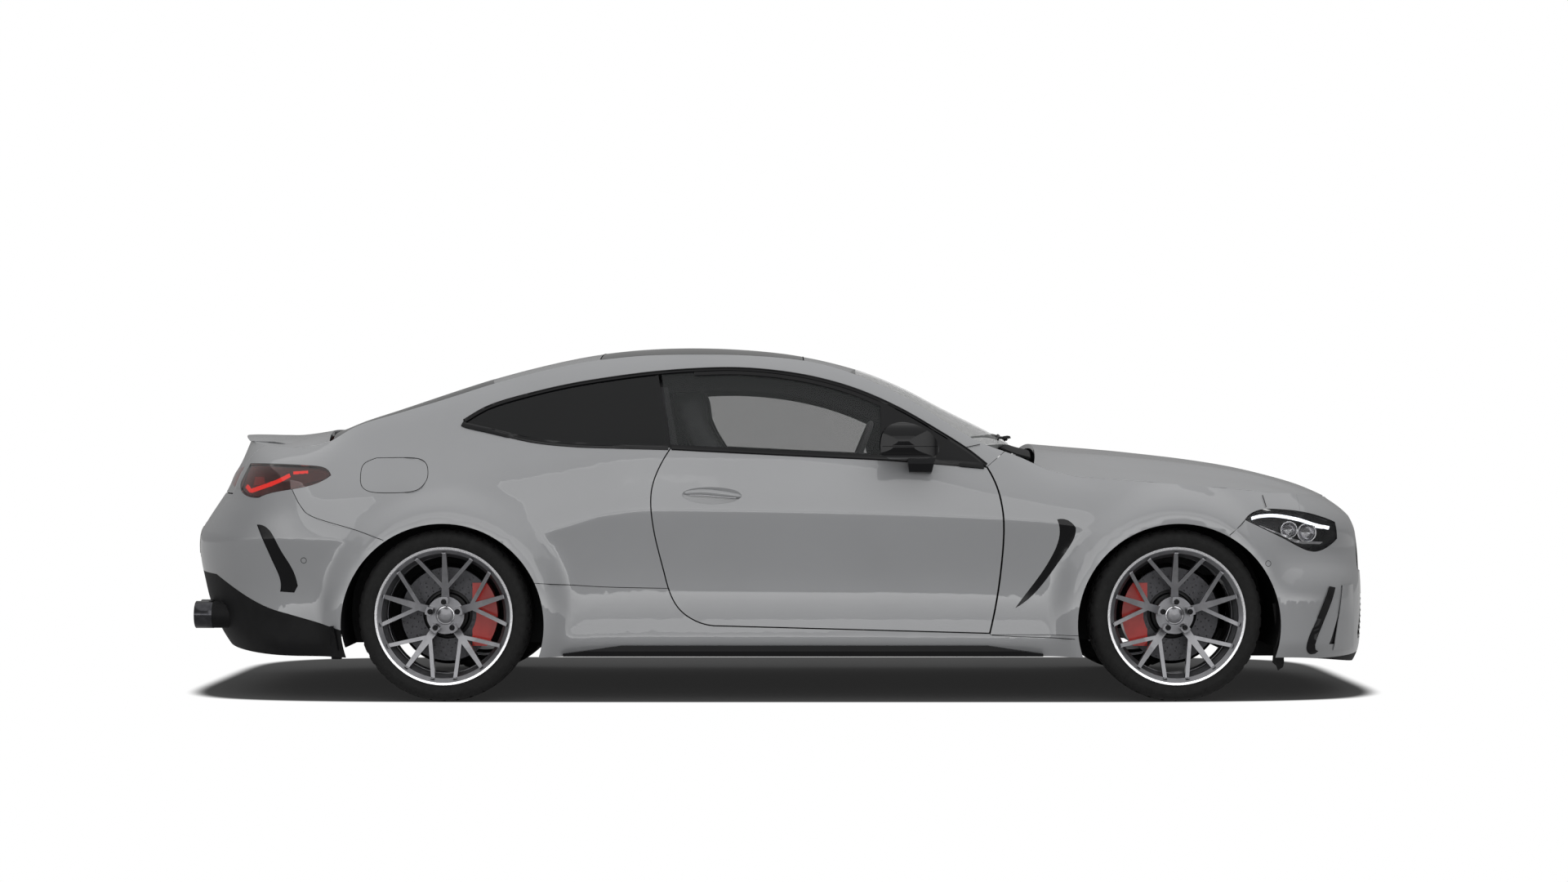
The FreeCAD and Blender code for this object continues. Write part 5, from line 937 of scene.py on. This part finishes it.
# roof glass, wipers and mirrors
roofPane = {"rows": range(-722, 98, 39), "half": 545, "lift": 0.8, "thick": 3}
roofOnly = castTree("roof_panel")
grid = [[onTop(roofOnly, x * mm, roofPane["half"] * (2 * c / 24 - 1) * mm, roofPane["lift"] * mm) for c in range(25)]
        for x in roofPane["rows"]]
sheetPiece("roofGlass", grid, roofPane["thick"] * mm, roofGlass, "body", inwards=(-0.4, 0, 0.6))
for name, x in (("roofSeamRear", -725), ("roofSeamFront", 98)):
    places = [onTop(roofOnly, x * mm, y * mm, -1.2 * mm) for y in range(-576, 577, 36)]
    linePiece(name, [places], 3.2 * mm, frameBlack, "body")
screenTree = castTree("windscreen")


def screenFoot(y, upSlope, lift):
    # the place on the windscreen that is upSlope back from its lower edge at y
    for x in range(985, 760, -4):
        if screenTree.ray_cast(Vector((x * mm, y, 3)), Vector((0, 0, -1)))[0]:
            return onTop(screenTree, x * mm - upSlope, y, lift)
    return screenTree.find_nearest(Vector((0.8, y, 1.0)))[0]


for name, pivot, tip in (("wiperRight", -560, 10), ("wiperLeft", 40, 560)):
    start = screenFoot(pivot * mm, 0.0, 0) + Vector((0.012, 0, 0.012))
    path = [start, start + Vector((-0.012, 0.002, 0.012))]
    path += [screenFoot((pivot + (tip - pivot) * t) * mm, 0.022 + 0.028 * t, 9 * mm) for t in (0.15, 0.35, 0.5, 0.6)]
    linePiece(f"{name}Arm", [path], 5 * mm, blackAbs, "body")
    blade = [screenFoot((pivot + 40 + (tip - pivot) * t / 12) * mm, 0.024 + 0.03 * t / 12, 4 * mm) for t in range(13)]
    linePiece(f"{name}Blade", [blade], 4.5 * mm, blackAbs, "body")
    cap = [(4 * mm, 0), (0, 10 * mm), (-11 * mm, 12 * mm), (-11 * mm, 0)]
    ringPiece(f"{name}Cap", start + Vector((0, 0, 0.008)), (0, 0, 1), 12 * mm, cap, blackAbs, "body", 28)
mirror = {"paneX": (411, 415), "shrink": (0.84, 0.8), "from": (978, 1028), "to": (978, 1022),
          "seamX": (402, 618), "seamZ": 1006,
          "outline": [(1048, 1010), (1040, 1058), (1008, 1085), (960, 1090), (930, 1076), (915, 1036), (913, 1000),
                      (922, 975), (962, 967), (1018, 971), (1042, 984)]}
for side, word in sides:
    (y0, z0), (y1, z1), (wide, high) = mirror["from"], mirror["to"], mirror["shrink"]
    ring = [(y1 + (y - y0) * wide, z1 + (z - z0) * high) for y, z in mirror["outline"]]
    front, back = ([Vector((x * mm, side * y * mm, z * mm)) for y, z in ring] for x in mirror["paneX"])
    prismPiece(f"mirrorPane_{word}", front, back, silvered, f"door_{word}")
    mirrorTree = castTree(f"mirror_{word}")
    x0, x1 = mirror["seamX"]
    seam = [onSide(mirrorTree, (x0 + (x1 - x0) * k / 23) * mm, mirror["seamZ"] * mm, 0.4 * mm, side) for k in range(24)]
    linePiece(f"mirrorLine_{word}", [seam], 1.0 * mm, frameBlack, f"door_{word}")
print("roof, wipers and mirrors done")


# nose: the flank's intake slot with the fin behind it, and the flaps in the wheel arches
fin = {"foot": 196, "head": 452, "nearX": 2196, "farX": 2306, "lean": 0.19, "lift": 2.0, "belly": 6.0}
flap = {"rear": [(-1762, 168), (-1726, 168), (-1730, 210), (-1738, 262), (-1748, 302), (-1762, 300)],
        "front": [(1950, 384), (1968, 388), (1990, 300), (1996, 152), (1992, 134), (1972, 120), (1966, 138),
                  (1950, 152), (1962, 300)], "across": (0.846, 0.852)}
for side, word in sides:
    tree = castTree("front_bumper", "bumper_vents", "lower_grille", "front_lip")
    finRows = []
    for k in range(13):
        z = fin["foot"] + (fin["head"] - fin["foot"]) * k / 12
        near = onSide(tree, (fin["nearX"] + (z - fin["foot"]) * fin["lean"]) * mm, z * mm, 0, side)
        far = onSide(tree, fin["farX"] * mm, z * mm, 0, side)
        out = Vector((near.y - far.y, far.x - near.x, 0)) * (1 if side < 0 else -1)
        out = out.normalized() * (-1 if out.y * side < 0 else 1)
        finRows.append([near.lerp(far, t / 8) + out * (fin["lift"] + fin["belly"] * math.sin(math.pi * t / 8)) * mm
                        for t in range(9)])
    sheetPiece(f"intakeFin_{word}", finRows, 3 * mm, lacquer, "body", inwards=(1.2, 0, 0.35))
    slot = [(2176, 452), (2150, 396), (2118, 330), (2082, 258), (2072, 214), (2086, 190), (2112, 190)]
    inner = [(2204, 446), (2180, 388), (2150, 326), (2118, 258), (2108, 226), (2112, 206), (2124, 200)]
    patchPiece(f"intakeSlot_{word}", slot, inner, 2.4, 3, tree, blackAcrylic, "body", side, 40, 4)
    near, far = ([(x * mm, side * y, z * mm) for x, z in flap["front"]] for y in flap["across"])
    prismPiece(f"archFlap_{word}", near, far, rubber, "body")
    # the rear one stands as far out as the bumper's edge beside it
    rearTree = castTree("rear_bumper", "rear_diffuser", f"bodyside_{word}")
    outer = []
    for x, z in flap["rear"]:
        reach = max(abs(onSide(rearTree, at * mm, z * mm, 0, side).y) for at in (-1752, -1744, -1738, -1732, -1727))
        outer.append(Vector((x * mm, side * (reach + 1.5 * mm), z * mm)))
    inner = [p - Vector((0, side * 0.04, 0)) for p in outer]
    prismPiece(f"archFlapRear_{word}", outer, inner, blackPlastic, "body")
# tray that closes the underside of the nose between the wheels
boxPiece("noseUndertray", (1850, -520, 154), (2290, 520, 244), blackPlastic, "body", "black_trim", 6)
slatTree = castTree("lower_grille", "front_bumper")
lowerTree = castTree("lower_grille")


def grilleBar(places, lift, stopAtGap):
    # the run of places where the lower grille itself is seen from the front, and not the bumper
    run = []
    for y, z in places:
        ahead, back = Vector((4, y * mm, z * mm)), Vector((-1, 0, 0))
        place = lowerTree.ray_cast(ahead, back)[0]
        outer = slatTree.ray_cast(ahead, back)[0]
        if place is not None and (place - outer).length < 0.002:
            run.append(place + Vector((lift * mm, 0, 0)))
        elif stopAtGap and len(run) > 3:
            break
    return run


slats = [grilleBar([(y, z) for y in range(-640, 641, 20)], 1.5, True) for z in range(236, 441, 24)]
uprights = [grilleBar([(y, z) for z in range(232, 445, 14)], 0.5, False) for y in range(-560, 561, 70)]
for name, bars, radius in (("lowerGrilleSlats", slats, 4.2), ("lowerGrilleUprights", uprights, 3.2)):
    linePiece(name, [bar for bar in bars if len(bar) > 3], radius * mm, blackAcrylic, "body")
print("nose trims done")


# studio: white sweep, soft box overhead, strips along the sides
def whiteToCamera(tree, otherwise):
    # pure white where the camera or a pane looks at it, a dimmer white as a light
    paths = addNode(tree, "ShaderNodeLightPath")
    first = addNode(tree, "ShaderNodeMath", {"operation": "MAXIMUM"},
                    {0: paths.outputs["Is Camera Ray"], 1: paths.outputs["Is Transmission Ray"]})
    return addNode(tree, "ShaderNodeMix", {"data_type": "FLOAT", "B": 1.0},
                   {"Factor": first.outputs[0], "A": otherwise}).outputs["Result"]


# paper is the floor's tone for the lamps; shadowPaper, shadowGlow, shadowEdge, shadowPlace and shadowPower set the
# painted shadow patch that the camera sees under the car
studio = {"horizon": 0.26, "zenith": 0.52, "floor": 0.42, "gleam": 3.2, "gleamTop": 0.45, "gleamPower": 3.0,
          "gleamSide": (-0.75, 0.1), "paper": 0.44, "shadowPaper": 0.085, "shadowGlow": 0.02,
          "shadowEdge": (0.86, 1.08), "shadowPlace": (("X", 0.02, 2.44), ("Y", 0.3, 1.22)), "shadowPower": 6.0}
world = bpy.data.worlds.new("studioWhite")
bpy.context.scene.world = world
world.use_nodes = True
tree = world.node_tree
background = tree.nodes["Background"]
background.inputs["Color"].default_value = (1, 1, 1, 1)
outlook = addNode(tree, "ShaderNodeTexCoord").outputs["Generated"]
upward = addNode(tree, "ShaderNodeSeparateXYZ", {}, {"Vector": outlook})
sky = addNode(tree, "ShaderNodeMapRange", {"From Min": 0.0, "From Max": 0.8, "To Min": studio["horizon"],
                                           "To Max": studio["zenith"], "interpolation_type": "SMOOTHSTEP"},
              {"Value": upward.outputs["Z"]})
# a bright line along the near side's horizon, for reflections only, draws the creases of the lacquer
low = addNode(tree, "ShaderNodeMapRange", {"From Max": studio["gleamTop"], "To Min": 1.0, "To Max": 0.0},
              {"Value": upward.outputs["Z"]})
nearSide = addNode(tree, "ShaderNodeMapRange", {"From Min": studio["gleamSide"][0], "From Max": studio["gleamSide"][1],
                                                "To Min": 1.0, "To Max": 0.0}, {"Value": upward.outputs["Y"]})
mirrored = addNode(tree, "ShaderNodeLightPath").outputs["Is Glossy Ray"]
steep = addNode(tree, "ShaderNodeMath", {"operation": "POWER", 1: studio["gleamPower"]}, {0: low.outputs["Result"]})
gleam = addNode(tree, "ShaderNodeMath", {"operation": "MULTIPLY"}, {0: steep.outputs[0], 1: mirrored})
sided = addNode(tree, "ShaderNodeMath", {"operation": "MULTIPLY"}, {0: gleam.outputs[0], 1: nearSide.outputs["Result"]})
brighter = addNode(tree, "ShaderNodeMath", {"operation": "MULTIPLY_ADD", 1: studio["gleam"]},
                   {0: sided.outputs[0], 2: sky.outputs["Result"]})
tree.links.new(whiteToCamera(tree, brighter.outputs[0]), background.inputs["Strength"])


def studioFloor():
    # white floor that fades to pure white away from the car; under the car it carries a painted shadow patch over the
    # shade that the lamps cast
    bpy.ops.mesh.primitive_plane_add(size=1)
    floor = bpy.context.object
    floor.name = "studioFloor"
    floor.scale = (60, 60, 1)
    material, tree, shader = newMaterial("studioPaper", {"Roughness": 0.9, "Specular IOR Level": 0.0,
                                                         "Emission Color": (1, 1, 1, 1)})
    # painted shadow: the camera sees a darkened patch of paper with a faint painted glow, the car is lit by the pale
    # one
    seen = addNode(tree, "ShaderNodeLightPath").outputs["Is Camera Ray"]
    tone = addNode(tree, "ShaderNodeMix", {"data_type": "FLOAT", "A": studio["paper"], "B": studio["shadowPaper"]},
                   {"Factor": seen})
    grey = addNode(tree, "ShaderNodeCombineColor", {},
                   {part: tone.outputs["Result"] for part in ("Red", "Green", "Blue")})
    tree.links.new(grey.outputs["Color"], shader.inputs["Base Color"])
    # painted glow that lifts the darkest part of the painted shadow, for the camera only
    glow = addNode(tree, "ShaderNodeMath", {"operation": "MULTIPLY", 1: studio["shadowGlow"]}, {0: seen})
    tree.links.new(glow.outputs[0], shader.inputs["Emission Strength"])
    # painted shadow patch near the car, over the board's own shading; plain white further out
    place = addNode(tree, "ShaderNodeNewGeometry").outputs["Position"]
    split = addNode(tree, "ShaderNodeSeparateXYZ", {}, {"Vector": place})
    # the painted shadow patch is a rectangle with round corners: powers of the way along and across it add up to one at
    # its edge
    powers = []
    for axis, centre, reach in studio["shadowPlace"]:
        share = addNode(tree, "ShaderNodeMath", {"operation": "MULTIPLY_ADD", 1: 1 / reach, 2: -centre / reach},
                        {0: split.outputs[axis]})
        size = addNode(tree, "ShaderNodeMath", {"operation": "ABSOLUTE"}, {0: share.outputs[0]})
        power = addNode(tree, "ShaderNodeMath", {"operation": "POWER", 1: studio["shadowPower"]}, {0: size.outputs[0]})
        powers.append(power.outputs[0])
    away = addNode(tree, "ShaderNodeMath", {"operation": "ADD"}, dict(enumerate(powers)))
    inside, outside = studio["shadowEdge"]
    fade = addNode(tree, "ShaderNodeMapRange", {"From Min": inside, "From Max": outside,
                                                "interpolation_type": "SMOOTHSTEP"}, {"Value": away.outputs[0]})
    whiteEmission = addNode(tree, "ShaderNodeEmission", {"Color": (1, 1, 1, 1)})
    dim = addNode(tree, "ShaderNodeValue")
    dim.outputs[0].default_value = studio["floor"]
    tree.links.new(whiteToCamera(tree, dim.outputs[0]), whiteEmission.inputs["Strength"])
    mixed = addNode(tree, "ShaderNodeMixShader", {}, {"Fac": fade.outputs["Result"]})
    tree.links.new(shader.outputs[0], mixed.inputs[1])
    tree.links.new(whiteEmission.outputs[0], mixed.inputs[2])
    tree.links.new(mixed.outputs[0], tree.nodes["Material Output"].inputs["Surface"])
    floor.data.materials.append(material)


def areaLight(name, place, aim, size, power, reflected):
    light = bpy.data.lights.new(name, "AREA")
    light.shape, light.size, light.size_y, light.energy = "RECTANGLE", size[0], size[1], power
    lamp = bpy.data.objects.new(name, light)
    lamp.location = place
    lamp.rotation_euler = (Vector(aim) - Vector(place)).to_track_quat("-Z", "Y").to_euler()
    bpy.context.scene.collection.objects.link(lamp)
    lamp.visible_transmission = lamp.visible_glossy = reflected


studioFloor()
# place, aim, width and height in metres, watts, and whether the car mirrors it
lamps = {
    "softBoxTop": ((0.0, -1.4, 6.0), (0.0, 0.0, 0.0), (16.0, 11.0), 300, True),
    "stripSide": ((0.0, -6.5, 3.0), (0.0, 0.0, 0.7), (9.0, 3.0), 125, True),
    "stripFar": ((0.0, 6.5, 3.0), (0.0, 0.0, 0.7), (9.0, 3.0), 45, False),
}
for name, settings in lamps.items():
    areaLight(name, *settings)

view = {"lens": 67.67, "sensor": 36, "place": (0.0195, -12.5, 1.027)}
camera = bpy.data.cameras.new("sideCamera")
camera.lens, camera.sensor_width = view["lens"], view["sensor"]
cameraObject = bpy.data.objects.new("sideCamera", camera)
cameraObject.location = view["place"]
cameraObject.rotation_euler = (math.pi / 2, 0, 0)
bpy.context.scene.collection.objects.link(cameraObject)
bpy.context.scene.camera = cameraObject
bpy.context.scene.view_settings.view_transform = "Standard"
print("studio done")
